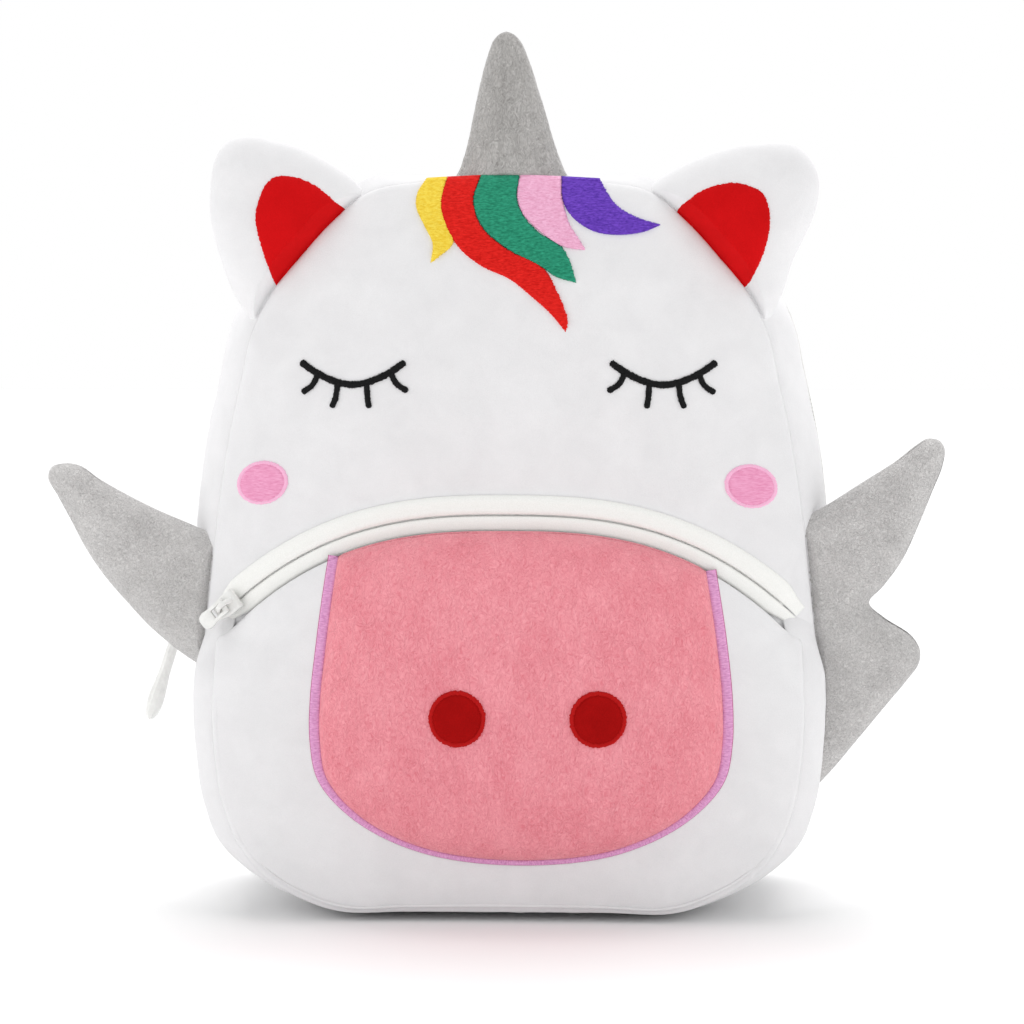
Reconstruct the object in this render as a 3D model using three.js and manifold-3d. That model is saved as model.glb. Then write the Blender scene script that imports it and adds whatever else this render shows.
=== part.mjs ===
// A plush unicorn backpack for small children: a padded bag with a zip over its top, a zipped front pocket
// with a stuffed muzzle, stuffed ears, horn and wings, and two padded shoulder straps behind.
// Millimetres, +Z up, the face towards -Y, the flat base on z = 0. Left is -X, as seen from the front.
import * as THREE from "three";
import { mergeVertices } from "three/addons/utils/BufferGeometryUtils.js";
import Module from "manifold-3d";

const wasm = await Module();
wasm.setup();

// Bag
const BAG_HEIGHT = 264; // base to the top seam
const BAG_HALF_WIDTH = 112; // at the front seam
const BAG_DEPTH = 71; // front seam to back seam
const FRONT_Y = -31; // front seam
const BASE_HALF_WIDTH = 60; // flat part of the base
const SIDE_BULGE = 11; // how far the sides swell past the seams
const TOP_DROP = 10; // how much lower the back seam is at the top
const PANEL_WALL = 3; // padded velour
const GUSSET_WALL = 2.4;
const FACE_DOME = 17;
const BACK_DOME = 6;
const SEAM_GAP = 0.3;
const LIFT = 0.7; // clearance under a piece sewn onto a curved panel

// Main zip
const ZIP_END_HEIGHT = 96;
const TAPE_WIDTH = 8;
const TAPE_THICKNESS = 1.2;
const COIL_WIDTH = 3;
const COIL_THICKNESS = 2.2;
const MAIN_SLIDER_RISE = 8; // above the end of the zip
const MAIN_PULLER_LENGTH = 44;
const MAIN_PULLER_TILT = 18; // degrees out from straight down

// Pocket
const ARCH_TOP = 144.2; // coil of the pocket zip at its highest
const ARCH_END = 106; // and at its ends
const ARCH_POWER = 2.7;
const POCKET_DEPTH = 19; // of its side, in front of the front seam
const POCKET_CROWN = 14; // bulge of the pocket panel past its seam
const POCKET_INSET = 6; // pocket seam inside the bag's outline
const POCKET_TAPER = 28; // height over which the pocket's side narrows to the ends of its zip
const POCKET_SWELL = 6.5; // of its side wall between its two seams
const UPPER_TAPE = 5;
const LOWER_TAPE = 3.2;
const POCKET_PULLER_LENGTH = 11;

// Muzzle
const MUZZLE_HALF_WIDTH = 71;
const MUZZLE_BOTTOM = 23;
const MUZZLE_SHIFT = 5.2; // sewn a little to the right of the middle
const MUZZLE_RISE = 8;
const MUZZLE_EDGE = 2;
const TRIM_WIDTH = 3;
const TRIM_FOOT_WIDTH = 1.6;
const NOSTRIL_RADIUS = 10;
const NOSTRIL_SPACING = 49.2;
const NOSTRIL_SHIFT = 7.9;
const NOSTRIL_HEIGHT = 74.5;
const NOSTRIL_RISE = 0.6;

// Face
const THREAD = 0.9; // thickness of an embroidered piece
const EYE_OFFSET = 55.3;
const EYE_HEIGHT = 189.9; // lowest point of the arc
const EYE_HALF_WIDTH = 18.4;
const EYE_SAG = 7.8;
const EYE_STROKE = 2.1;
const CHEEK_OFFSET = 87.5;
const CHEEK_HEIGHT = 154.9;
const CHEEK_RADII = [9.7, 7.7];
const CHEEK_TILT = 14; // degrees
const MANE_WIDTH = 64;
const MANE_DROP = 55;

// Ears, horn and wings
const EAR_WIDTH = 57;
const EAR_HEIGHT = 67;
const EAR_THICKNESS = 17;
const EAR_INNER_THICKNESS = 1.5;
const EAR_Y = -27;
const HORN_HEIGHT = 54;
const HORN_HALF_WIDTH = 20.5;
const HORN_HALF_DEPTH = 12.5;
const HORN_Y = -20;
const HORN_LEAN = -2.4;
const WING_THICKNESS = 15;
const WING_Y = -25;
const LEFT_WING = { reach: 68, height: 73, foot: 88 };
const RIGHT_WING = { reach: 57, height: 125, foot: 46 };
const WING_ROOT = 100; // from the bag's middle to the hidden root of a wing

// Straps and grab loop
const STRAP_WIDTH = 36;
const STRAP_THICKNESS = 7;
const STRAP_REACH = 48; // how far a strap stands off the back panel
const WEBBING_WIDTH = 20;
const WEBBING_THICKNESS = 1.6;
const BUCKLE_BAR = 3;
const BUCKLE_THICKNESS = 2.4;
const BUCKLE_PITCH = 8.5; // between its bars
const LOOP_HALF_WIDTH = 27;
const LOOP_REACH = 22;
const LOOP_BAND = 16;
const LOOP_THICKNESS = 2;
const LOOP_SAG = 2;

const BACK_Y = FRONT_Y + BAG_DEPTH;
const ZIP_Y = (FRONT_Y + BACK_Y) / 2;
const BAG_MIDDLE = { x: 0, z: BAG_HEIGHT * 0.51 }; // where the panels' facets meet
const RINGS = [0, 0.42, 0.72, 0.9, 1]; // shares from a panel's middle to its seam
const TINY = 1e-6;

const mix = (a, b, t) => a + (b - a) * t;
const clamp = (t) => Math.min(1, Math.max(0, t));
const smooth = (t) => clamp(t) ** 2 * (3 - 2 * clamp(t));
const dome = (share) => (1 - clamp(share) ** 3) ** 0.75;
const steps = (count) => Array.from({ length: count + 1 }, (_, i) => i / count);
const point = (x, y, z) => new THREE.Vector3(x, y, z);

// Solids

function solidOf(geometry) {
  const bare = geometry.clone();
  bare.deleteAttribute("normal");
  bare.deleteAttribute("uv");
  const merged = mergeVertices(bare);
  const triangles = [];
  for (let i = 0; i < merged.index.count; i += 3) {
    const [a, b, c] = [0, 1, 2].map((k) => merged.index.getX(i + k));
    if (a !== b && b !== c && c !== a) triangles.push(a, b, c);
  }
  const asSolid = (triVerts) =>
    new wasm.Manifold(
      new wasm.Mesh({
        numProp: 3,
        vertProperties: new Float32Array(merged.attributes.position.array),
        triVerts: new Uint32Array(triVerts),
      }),
    );
  const solid = asSolid(triangles);
  return solid.volume() < 0 ? asSolid(triangles.reverse()) : solid;
}

function solidOfCorners(corners) {
  return solidOf(new THREE.BufferGeometry().setFromPoints(corners));
}

function pushQuad(corners, a, b, c, d) {
  corners.push(a, b, c, a, c, d);
}

// A body between an outer and an inner grid of points, closed by a rim all round, or looped row to row.
function shell(outer, inner, looped = false) {
  const corners = [];
  const last = outer[0].length - 1;
  for (let i = 0; i < outer.length - (looped ? 0 : 1); i++) {
    const k = (i + 1) % outer.length;
    for (let j = 0; j < last; j++) {
      pushQuad(corners, outer[i][j], outer[k][j], outer[k][j + 1], outer[i][j + 1]);
      pushQuad(corners, inner[i][j], inner[i][j + 1], inner[k][j + 1], inner[k][j]);
    }
    pushQuad(corners, outer[i][0], inner[i][0], inner[k][0], outer[k][0]);
    pushQuad(corners, outer[i][last], outer[k][last], inner[k][last], inner[i][last]);
  }
  if (looped) return solidOfCorners(corners);
  const end = outer.length - 1;
  for (let j = 0; j < last; j++) {
    pushQuad(corners, outer[0][j], outer[0][j + 1], inner[0][j + 1], inner[0][j]);
    pushQuad(corners, outer[end][j], inner[end][j], inner[end][j + 1], outer[end][j + 1]);
  }
  return solidOfCorners(corners);
}

// A body whose rows loop round it and run from one pole to the other.
function skin(rows) {
  const corners = [];
  rows.forEach((row, i) => {
    const next = rows[(i + 1) % rows.length];
    for (let j = 0; j < row.length - 1; j++) pushQuad(corners, row[j], next[j], next[j + 1], row[j + 1]);
  });
  return solidOfCorners(corners);
}

// What is left of a piece outside its neighbours, without slivers.
function trimmed(piece, ...neighbours) {
  const rest = neighbours.reduce((left, neighbour) => left.subtract(neighbour), piece);
  return rest.decompose().sort((a, b) => b.volume() - a.volume())[0];
}

// Bag outline, at the front seam, from the edge of the flat base up the right side to the top
const OUTLINE = [
  { across: 0.625, up: 0.007 },
  { across: 0.732, up: 0.029 },
  { across: 0.871, up: 0.064 },
  { across: 0.96, up: 0.136 },
  { across: 0.996, up: 0.227 },
  { across: 1, up: 0.326 },
  { across: 0.982, up: 0.409 },
  { across: 0.946, up: 0.545 },
  { across: 0.906, up: 0.652 },
  { across: 0.861, up: 0.737 },
  { across: 0.814, up: 0.813 },
  { across: 0.741, up: 0.86 },
  { across: 0.471, up: 0.978 },
  { across: 0.346, up: 0.993 },
];
const SIDE_STEPS = 42;
const BASE_STEPS = 5; // odd, so that the middle of the base lies inside a facet

const rightSide = OUTLINE.map(({ across, up }) => point(across * BAG_HALF_WIDTH, 0, up * BAG_HEIGHT));
const outline = new THREE.CatmullRomCurve3(
  [
    point(BASE_HALF_WIDTH, 0, 0),
    ...rightSide,
    point(0, 0, BAG_HEIGHT),
    ...rightSide.map((p) => point(-p.x, 0, p.z)).reverse(),
    point(-BASE_HALF_WIDTH, 0, 0),
  ],
  false,
  "centripetal",
);
outline.arcLengthDivisions = 400;

// A place on the outline, u = 0 at the right edge of the base, 1 at the left one, with its outward normal.
function station(u) {
  const place = outline.getPointAt(u);
  const along = outline.getTangentAt(u);
  return { x: place.x, z: Math.max(0, place.z), nx: along.z, nz: -along.x };
}

function baseStations() {
  const inner = steps(BASE_STEPS).slice(1, -1);
  return inner.map((t) => ({ x: mix(-BASE_HALF_WIDTH, BASE_HALF_WIDTH, t), z: 0, nx: 0, nz: -1 }));
}

// Where the right side reaches a height, as a share of the outline.
function shareAtHeight(height) {
  let [low, high] = [0, 0.5];
  for (let i = 0; i < 40; i++) {
    const middle = (low + high) / 2;
    if (outline.getPointAt(middle).z < height) low = middle;
    else high = middle;
  }
  return low;
}

const NEAREST = 0.004; // least share between two stations

// The outline's own stations between two shares, and the two ends, so that neighbours share their facets.
function stationsBetween(from, to) {
  const between = steps(SIDE_STEPS).filter((u) => u > from + NEAREST && u < to - NEAREST);
  return [from, ...between, to].map(station);
}

// Down the left side from a height, along the base and up the right side.
function lowerStations(height) {
  const share = shareAtHeight(height);
  return [...stationsBetween(1 - share, 1), ...baseStations(), ...stationsBetween(0, share)];
}

// Over the top, from a height on the right side to the same height on the left.
function upperStations(height) {
  const share = shareAtHeight(height);
  return stationsBetween(share, 1 - share);
}

const allStations = [...stationsBetween(0, 1), ...baseStations()];

// How far the gusset stands out of the outline, v = 0 at the front seam and 1 at the back seam.
const BULGE_FULL = 0.64; // shares of the bag's height where the sides reach their full swell,
const BULGE_FADE = [0.8, 0.97]; // and where it fades to the flat top
function swell(z, v) {
  const up = z / BAG_HEIGHT;
  const [fade, flat] = BULGE_FADE;
  const topness = smooth((up - fade) / (flat - fade));
  const bulge = SIDE_BULGE * smooth(up / BULGE_FULL) * (1 - topness);
  return bulge * (1 - Math.abs(2 * v - 1) ** 2.5) - TOP_DROP * topness * v;
}

function gussetPoint(place, y, offset) {
  const out = swell(place.z, (y - FRONT_Y) / BAG_DEPTH) + offset;
  return point(place.x + place.nx * out, y, Math.max(0, place.z + place.nz * out));
}

// A strip of the gusset from one depth to another; its face lies above the gusset's own by a height.
function gussetStrip(places, fromY, toY, wall, above, columns) {
  const depths = steps(columns).map((t) => mix(fromY, toY, t));
  const layer = (offset) => places.map((place) => depths.map((y) => gussetPoint(place, y, offset)));
  const outer = layer(above);
  const inner = places.map((place, i) =>
    depths.map((_, j) => outer[i][j].clone().sub(point(place.nx * wall, 0, place.nz * wall))),
  );
  return shell(outer, inner);
}

// Domed panels

// A panel bulges from its edge, a closed list of points, to a crown over its middle.
function domedPanel(edge, middle, crownY) {
  // The share of the way from the middle to the edge at a place, and the edge's depth in that direction.
  const locate = (x, z) => {
    const [dx, dz] = [x - middle.x, z - middle.z];
    const reach = Math.hypot(dx, dz);
    if (reach < TINY) return { share: 0, edgeY: edge[0].y };
    for (let i = 0; i < edge.length; i++) {
      const a = edge[i];
      const b = edge[(i + 1) % edge.length];
      const [ex, ez] = [b.x - a.x, b.z - a.z];
      const cross = dx * ez - dz * ex;
      if (Math.abs(cross) < TINY) continue;
      const [ax, az] = [a.x - middle.x, a.z - middle.z];
      const far = (ax * ez - az * ex) / cross;
      const along = (ax * dz - az * dx) / cross;
      const met = far > 0 && along >= -TINY && along <= 1 + TINY;
      if (met) return { share: 1 / far, edgeY: mix(a.y, b.y, along) };
    }
    return { share: 1, edgeY: edge[0].y };
  };
  const depth = (x, z) => {
    const { share, edgeY } = locate(x, z);
    return mix(edgeY, crownY, dome(share));
  };
  const rowsAt = (inset, thinner) =>
    edge.map((p) => {
      const away = Math.hypot(p.x - middle.x, p.z - middle.z);
      const keep = (away - inset) / away;
      return RINGS.map((share) =>
        point(
          mix(middle.x, p.x, share * keep),
          mix(p.y, crownY + thinner, dome(share)),
          mix(middle.z, p.z, share * keep),
        ),
      );
    });
  return { locate, depth, rowsAt };
}

function panelSolid(panel, wall, towardsInside) {
  return shell(panel.rowsAt(0, 0), panel.rowsAt(wall, wall * towardsInside), true);
}

const face = domedPanel(allStations.map(({ x, z }) => point(x, FRONT_Y, z)), BAG_MIDDLE, FRONT_Y - FACE_DOME);
const backEdge = allStations.map((place) => gussetPoint(place, BACK_Y, 0));
const back = domedPanel(backEdge, BAG_MIDDLE, BACK_Y + BACK_DOME);

const HULL_COLUMNS = 12;

// The whole outside of the bag, larger all round by a clearance, to trim what is sewn to it.
function bagHull(clearance) {
  const depths = steps(HULL_COLUMNS).map((v) => mix(FRONT_Y, BACK_Y, v));
  const grownEdge = (y, offset) =>
    allStations.map((place) => {
      const out = swell(place.z, (y - FRONT_Y) / BAG_DEPTH) + offset;
      return point(place.x + place.nx * out, y, place.z + place.nz * out);
    });
  const grownPanel = (seamY, crownY) => domedPanel(grownEdge(seamY, clearance), BAG_MIDDLE, crownY);
  const front = grownPanel(FRONT_Y - clearance, FRONT_Y - FACE_DOME - clearance);
  const rear = grownPanel(BACK_Y + clearance, BACK_Y + BACK_DOME + clearance);
  const [frontRows, rearRows] = [front.rowsAt(0, 0), rear.rowsAt(0, 0)];
  const sides = depths.map((y) => grownEdge(y, clearance));
  const loop = (i) => [...frontRows[i], ...sides.map((side) => side[i]), ...[...rearRows[i]].reverse()];
  return skin(allStations.map((_, i) => loop(i)));
}

// Pocket

// The zip's ends lie on the pocket's side seam.
const ARCH_HALF_WIDTH = outline.getPointAt(shareAtHeight(ARCH_END)).x - POCKET_INSET;
const ARCH_REACH = 1.2; // share of its half width past which the arch runs level
const archHeight = (x) => {
  const share = Math.min(ARCH_REACH, Math.abs(x) / ARCH_HALF_WIDTH);
  return mix(ARCH_TOP, ARCH_END, share ** ARCH_POWER);
};

// A place on the pocket zip's arch, moved square to it: up is positive.
function archPlace(x, offset) {
  const step = 0.5;
  const slope = (archHeight(x + step) - archHeight(x - step)) / (2 * step);
  const length = Math.hypot(1, slope);
  return { x: x - (slope / length) * offset, z: archHeight(x) + offset / length };
}

const POCKET_TOP_OFFSET = -(COIL_WIDTH / 2 + LOWER_TAPE + 2 * SEAM_GAP); // pocket panel's upper edge
const POCKET_SIDE_TOP = ARCH_END - POCKET_INSET;
const ARCH_STEPS = 24;

function pocketSeamY(x, z, onArch) {
  const onFace = face.depth(x, z) - PANEL_WALL - 2 * SEAM_GAP;
  return mix(onFace, FRONT_Y - POCKET_DEPTH, onArch ? 0 : smooth((ARCH_END - z) / POCKET_TAPER));
}

function inset(place, by) {
  return { ...place, x: place.x - place.nx * by, z: place.z - place.nz * by };
}

const pocketSides = lowerStations(POCKET_SIDE_TOP);
const pocketSeam = pocketSides.map((place) => {
  const { x, z } = inset(place, POCKET_INSET);
  return point(x, pocketSeamY(x, z, false), z);
});
const pocketEdge = [
  ...pocketSeam,
  ...steps(ARCH_STEPS).map((t) => {
    const { x, z } = archPlace(mix(ARCH_HALF_WIDTH, -ARCH_HALF_WIDTH, t), POCKET_TOP_OFFSET);
    return point(x, pocketSeamY(x, z, true), z);
  }),
];
const POCKET_MIDDLE = { x: 0, z: ARCH_TOP * 0.46 };
const pocket = domedPanel(pocketEdge, POCKET_MIDDLE, FRONT_Y - POCKET_DEPTH - POCKET_CROWN);

const POCKET_FULL_HEIGHT = BAG_HEIGHT * 0.12;
const pocketFullness = (z) => smooth(z / POCKET_FULL_HEIGHT);

// The pocket's side wall, from the bag's front seam to the pocket's own seam, with a soft swell between them.
function pocketSide(offset) {
  return pocketSides.map((place, i) =>
    steps(3).map((v) => {
      const outwards = POCKET_SWELL * Math.sin(Math.PI * v) * pocketFullness(place.z);
      const towards = inset(place, POCKET_INSET * v - outwards);
      const y = mix(FRONT_Y - SEAM_GAP, pocketSeam[i].y + SEAM_GAP, v);
      return point(towards.x + place.nx * offset, y, Math.max(0, towards.z) + place.nz * offset);
    }),
  );
}

function pocketGusset() {
  const outer = pocketSide(0);
  const innerWall = pocketSide(-GUSSET_WALL);
  return trimmed(shell(outer, innerWall), bagHull(SEAM_GAP));
}

// The whole outside of the pocket, larger by a clearance, down to the bag's front seam.
function pocketHull(clearance) {
  const sides = pocketSides.map((place, i) => {
    const towards = inset(place, -POCKET_SWELL * pocketFullness(place.z) - clearance);
    return [FRONT_Y + 1, pocketSeam[i].y - clearance].map((y) => point(towards.x, y, towards.z));
  });
  const middle = point(POCKET_MIDDLE.x, 0, POCKET_MIDDLE.z);
  const tops = pocketEdge.slice(pocketSides.length).map((p) => [p.clone().setY(FRONT_Y + 1), p.clone()]);
  const crown = middle.clone().setY(FRONT_Y - POCKET_DEPTH - POCKET_CROWN - clearance);
  return skin([...sides, ...tops].map(([low, high]) => [middle.clone().setY(FRONT_Y + 1), low, high, crown]));
}

const alongArch = (offset, reach = ARCH_HALF_WIDTH) =>
  steps(ARCH_STEPS).map((t) => archPlace(mix(-reach, reach, t), offset));

// A strip of the pocket's zip, between two offsets from its coil, lying on the bag's face.
function archStrip(from, to, thickness) {
  return ribbon(alongArch(from), alongArch(to), face.depth, thickness, 1);
}

// The whole pocket zip, larger by a clearance.
function archHull(clearance) {
  const [top, foot] = [UPPER_TAPE, LOWER_TAPE].map((tape) => COIL_WIDTH / 2 + SEAM_GAP + tape + clearance);
  const reach = ARCH_HALF_WIDTH + 3 * clearance;
  const surface = (x, z) => face.depth(x, z) + 2 * LIFT;
  const thickness = COIL_THICKNESS + 2 * LIFT + clearance;
  return ribbon(alongArch(-foot, reach), alongArch(top, reach), surface, thickness, 1);
}

// Pieces sewn onto a surface, which is given as its depth y at (x, z)

// A ribbon between two edges with equally many points, its front raised by a thickness.
function ribbon(left, right, surface, thickness, columns = 2) {
  const places = left.map((p, i) =>
    steps(columns).map((t) => ({ x: mix(p.x, right[i].x, t), z: mix(p.z, right[i].z, t) })),
  );
  const layer = (above) => places.map((row) => row.map(({ x, z }) => point(x, surface(x, z) - above, z)));
  return shell(layer(LIFT + thickness), layer(LIFT));
}

// A pad within a closed outline, thicker towards its middle.
function pad(edge, middle, surface, edgeThickness, rise, rings = [0, 0.5, 0.8, 1]) {
  const layer = (above) =>
    edge.map((p) =>
      rings.map((share) => {
        const [x, z] = [mix(middle.x, p.x, share), mix(middle.z, p.z, share)];
        return point(x, surface(x, z) - above(share), z);
      }),
    );
  return shell(layer((share) => LIFT + edgeThickness + rise * dome(share)), layer(() => LIFT), true);
}

// A smooth curve through rows of [x, z].
function curveThrough(rows, count, closed = false) {
  const curve = new THREE.CatmullRomCurve3(rows.map(([x, z]) => point(x, 0, z)), closed, "centripetal");
  const points = curve.getSpacedPoints(count);
  return closed ? points.slice(0, -1) : points;
}

// A stroke of thread along a curve.
function stroke(points, width, surface, thickness) {
  const sides = [-1, 1].map((side) =>
    points.map((p, i) => {
      const before = points[Math.max(0, i - 1)];
      const after = points[Math.min(points.length - 1, i + 1)];
      const length = Math.hypot(after.x - before.x, after.z - before.z);
      const reach = (side * width) / 2 / length;
      return { x: p.x + (after.z - before.z) * reach, z: p.z - (after.x - before.x) * reach };
    }),
  );
  return ribbon(sides[0], sides[1], surface, thickness, 1);
}

function ellipse(middle, radii, tilt, count) {
  const [c, s] = [Math.cos(tilt), Math.sin(tilt)];
  return steps(count)
    .slice(0, -1)
    .map((t) => {
      const [a, b] = [radii[0] * Math.cos(2 * Math.PI * t), radii[1] * Math.sin(2 * Math.PI * t)];
      return { x: middle.x + a * c - b * s, z: middle.z + a * s + b * c };
    });
}

// A leaf-shaped cushion about a plane: thick inside, sewn flat along its edge.
function cushion(edge, middle, planeY, thickness) {
  const rings = [0, 0.45, 0.78, 0.94, 1];
  const plump = (share) => (1 - share ** 2.4) ** 0.62;
  const layer = (side) =>
    edge.map((p) =>
      rings.map((share) =>
        point(
          mix(middle.x, p.x, share),
          planeY + (side * thickness * plump(share)) / 2,
          mix(middle.z, p.z, share),
        ),
      ),
    );
  const flat = domedPanel(edge.map((p) => point(p.x, planeY, p.z)), middle, planeY);
  const front = (x, z) => planeY - (thickness * plump(clamp(flat.locate(x, z).share))) / 2;
  return { solid: shell(layer(-1), layer(1), true), front };
}

// Muzzle, on the pocket: its right side from the corner at the zip down to the middle of its foot
const MUZZLE_SIDE = [
  { across: 0.92, up: 0.885 },
  { across: 0.97, up: 0.675 },
  { across: 1, up: 0.49 },
  { across: 1, up: 0.356 },
  { across: 0.965, up: 0.246 },
  { across: 0.79, up: 0.128 },
  { across: 0.465, up: 0.034 },
];

function muzzleCurve() {
  const top = archPlace(0, POCKET_TOP_OFFSET).z;
  const rows = MUZZLE_SIDE.map(({ across, up }) => [across * MUZZLE_HALF_WIDTH, mix(MUZZLE_BOTTOM, top, up)]);
  const cornerX = MUZZLE_SHIFT + rows[0][0];
  rows[0][1] = archPlace(cornerX, POCKET_TOP_OFFSET - SEAM_GAP).z;
  const right = rows.map(([x, z]) => [MUZZLE_SHIFT + x, z]);
  const left = rows.map(([x, z]) => [MUZZLE_SHIFT - x, z]);
  left[0][1] = archPlace(left[0][0], POCKET_TOP_OFFSET - SEAM_GAP).z;
  return curveThrough([...left, [MUZZLE_SHIFT, MUZZLE_BOTTOM], ...right.reverse()], 30);
}

const muzzleSides = muzzleCurve();
const MUZZLE_MIDDLE = { x: MUZZLE_SHIFT, z: mix(MUZZLE_BOTTOM, ARCH_TOP, 0.5) };
const muzzleTop = steps(8)
  .slice(1, -1)
  .map((t) => archPlace(mix(muzzleSides.at(-1).x, muzzleSides[0].x, t), POCKET_TOP_OFFSET - SEAM_GAP));
const muzzleEdge = [...muzzleSides, ...muzzleTop].map(({ x, z }) => point(x, 0, z));
const muzzleShape = domedPanel(muzzleEdge, MUZZLE_MIDDLE, 0);
const muzzleFront = (x, z) =>
  pocket.depth(x, z) - LIFT - MUZZLE_EDGE - MUZZLE_RISE * dome(muzzleShape.locate(x, z).share);

function muzzleTrim() {
  const side = (offset) =>
    muzzleSides.map((p, i) => {
      const before = muzzleSides[Math.max(0, i - 1)];
      const after = muzzleSides[Math.min(muzzleSides.length - 1, i + 1)];
      const out = offset(p) / Math.hypot(after.x - before.x, after.z - before.z);
      return { x: p.x + (after.z - before.z) * out, z: p.z - (after.x - before.x) * out };
    });
  const footness = (p) => 1 - smooth((p.z - MUZZLE_BOTTOM) / (ARCH_TOP * 0.3));
  return ribbon(
    side(() => SEAM_GAP),
    side((p) => SEAM_GAP + mix(TRIM_WIDTH, TRIM_FOOT_WIDTH, footness(p))),
    pocket.depth,
    THREAD,
    1,
  );
}

function nostril(side) {
  const middle = { x: NOSTRIL_SHIFT + (side * NOSTRIL_SPACING) / 2, z: NOSTRIL_HEIGHT };
  const edge = ellipse(middle, [NOSTRIL_RADIUS, NOSTRIL_RADIUS], 0, 16);
  return pad(edge, middle, muzzleFront, THREAD, NOSTRIL_RISE, [0, 0.6, 1]);
}

// Lashes: root and tip along the eye from its middle, outwards positive, as shares of the eye's half width
const LASHES = [
  { root: 0.66, tip: 0.97, length: 0.36 },
  { root: 0.28, tip: 0.4, length: 0.48 },
  { root: -0.27, tip: -0.32, length: 0.48 },
  { root: -0.72, tip: -1.05, length: 0.36 },
];

function eye(side) {
  const arcZ = (share) => EYE_HEIGHT + EYE_SAG * Math.abs(share) ** 1.8;
  const place = (share, z) => [side * (EYE_OFFSET + share * EYE_HALF_WIDTH), z];
  const arc = steps(6).map((t) => place(2 * t - 1, arcZ(2 * t - 1)));
  const lid = stroke(curveThrough(arc, 9), EYE_STROKE, face.depth, THREAD);
  return LASHES.reduce((whole, { root, tip, length }) => {
    const start = place(root, arcZ(root));
    const end = place(tip, arcZ(root) - length * EYE_HALF_WIDTH);
    const bend = place(mix(root, tip, 0.35), mix(start[1], end[1], 0.6));
    return whole.add(stroke(curveThrough([start, bend, end], 2), EYE_STROKE, face.depth, THREAD));
  }, lid);
}

function cheek(side) {
  const middle = { x: side * CHEEK_OFFSET, z: CHEEK_HEIGHT };
  const tilt = THREE.MathUtils.degToRad(-side * CHEEK_TILT);
  return pad(ellipse(middle, CHEEK_RADII, tilt, 16), middle, face.depth, THREAD, 0, [0, 0.5, 1]);
}

// Mane: the two edges of each lock, from the top seam to its tip, as [across, down]: shares of the mane's
// width from the bag's middle, and of its drop
// prettier-ignore
const MANE = {
  mane_yellow: {
    left: [[-0.47, 0.02], [-0.51, 0.1], [-0.515, 0.19], [-0.465, 0.32], [-0.42, 0.43], [-0.43, 0.556]],
    right: [[-0.345, 0.02], [-0.375, 0.17], [-0.34, 0.32], [-0.305, 0.42], [-0.43, 0.556]],
  },
  mane_red: {
    left: [
      [-0.345, 0.02], [-0.38, 0.15], [-0.355, 0.3], [-0.27, 0.46], [-0.147, 0.575], [0.01, 0.66],
      [0.125, 0.765], [0.24, 0.885], [0.323, 1],
    ],
    right: [
      [-0.158, 0.02], [-0.198, 0.15], [-0.147, 0.32], [-0.012, 0.46], [0.194, 0.587], [0.272, 0.738],
      [0.33, 0.92], [0.323, 1],
    ],
  },
  mane_green: {
    left: [
      [-0.158, 0.02], [-0.198, 0.15], [-0.147, 0.32], [-0.012, 0.46], [0.194, 0.587], [0.26, 0.64],
      [0.38, 0.684],
    ],
    right: [
      [0.058, 0.02], [0.047, 0.135], [0.08, 0.24], [0.17, 0.358], [0.295, 0.45], [0.34, 0.54],
      [0.38, 0.684],
    ],
  },
  mane_pink: {
    left: [[0.058, 0.02], [0.047, 0.135], [0.08, 0.24], [0.194, 0.37], [0.306, 0.449], [0.43, 0.473]],
    right: [[0.294, 0.02], [0.3, 0.135], [0.34, 0.305], [0.397, 0.41], [0.43, 0.473]],
  },
  mane_purple: {
    left: [
      [0.294, 0.02], [0.3, 0.147], [0.362, 0.265], [0.475, 0.35], [0.589, 0.373], [0.736, 0.358],
      [0.848, 0.309],
    ],
    right: [[0.525, 0.035], [0.555, 0.11], [0.6, 0.18], [0.7, 0.253], [0.848, 0.309]],
  },
};
const LOCK_STEPS = 9;

// A lock of the mane, wider by a clearance on each side where it only trims its neighbour.
function lock({ left, right }, clearance) {
  const place = ([across, down]) => [across * MANE_WIDTH, BAG_HEIGHT - down * MANE_DROP];
  const [a, b] = [left, right].map((rows) => curveThrough(rows.map(place), LOCK_STEPS));
  const widened = (p, q, by) => {
    const width = Math.hypot(q.x - p.x, q.z - p.z);
    const share = width < TINY ? 0 : by / width;
    return { x: p.x - (q.x - p.x) * share, z: p.z - (q.z - p.z) * share };
  };
  const edges = [
    a.map((p, i) => widened(p, b[i], clearance)),
    b.map((p, i) => widened(p, a[i], clearance)),
  ];
  const surface = (x, z) => face.depth(x, z) + clearance;
  return ribbon(edges[0], edges[1], surface, THREAD + 2 * clearance);
}

function maneLocks() {
  const locks = {};
  let before = null;
  for (const [name, rows] of Object.entries(MANE)) {
    locks[name] = before ? trimmed(lock(rows, 0), before) : lock(rows, 0);
    const grown = lock(rows, SEAM_GAP);
    before = before ? before.add(grown) : grown;
  }
  return { locks, hull: before };
}

// Ears: outlines as [across, up], shares of an ear's width outwards from its inner root and of its height
const EAR_ROOT = { x: BAG_HALF_WIDTH * 0.464, z: BAG_HEIGHT * 0.803 };
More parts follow.
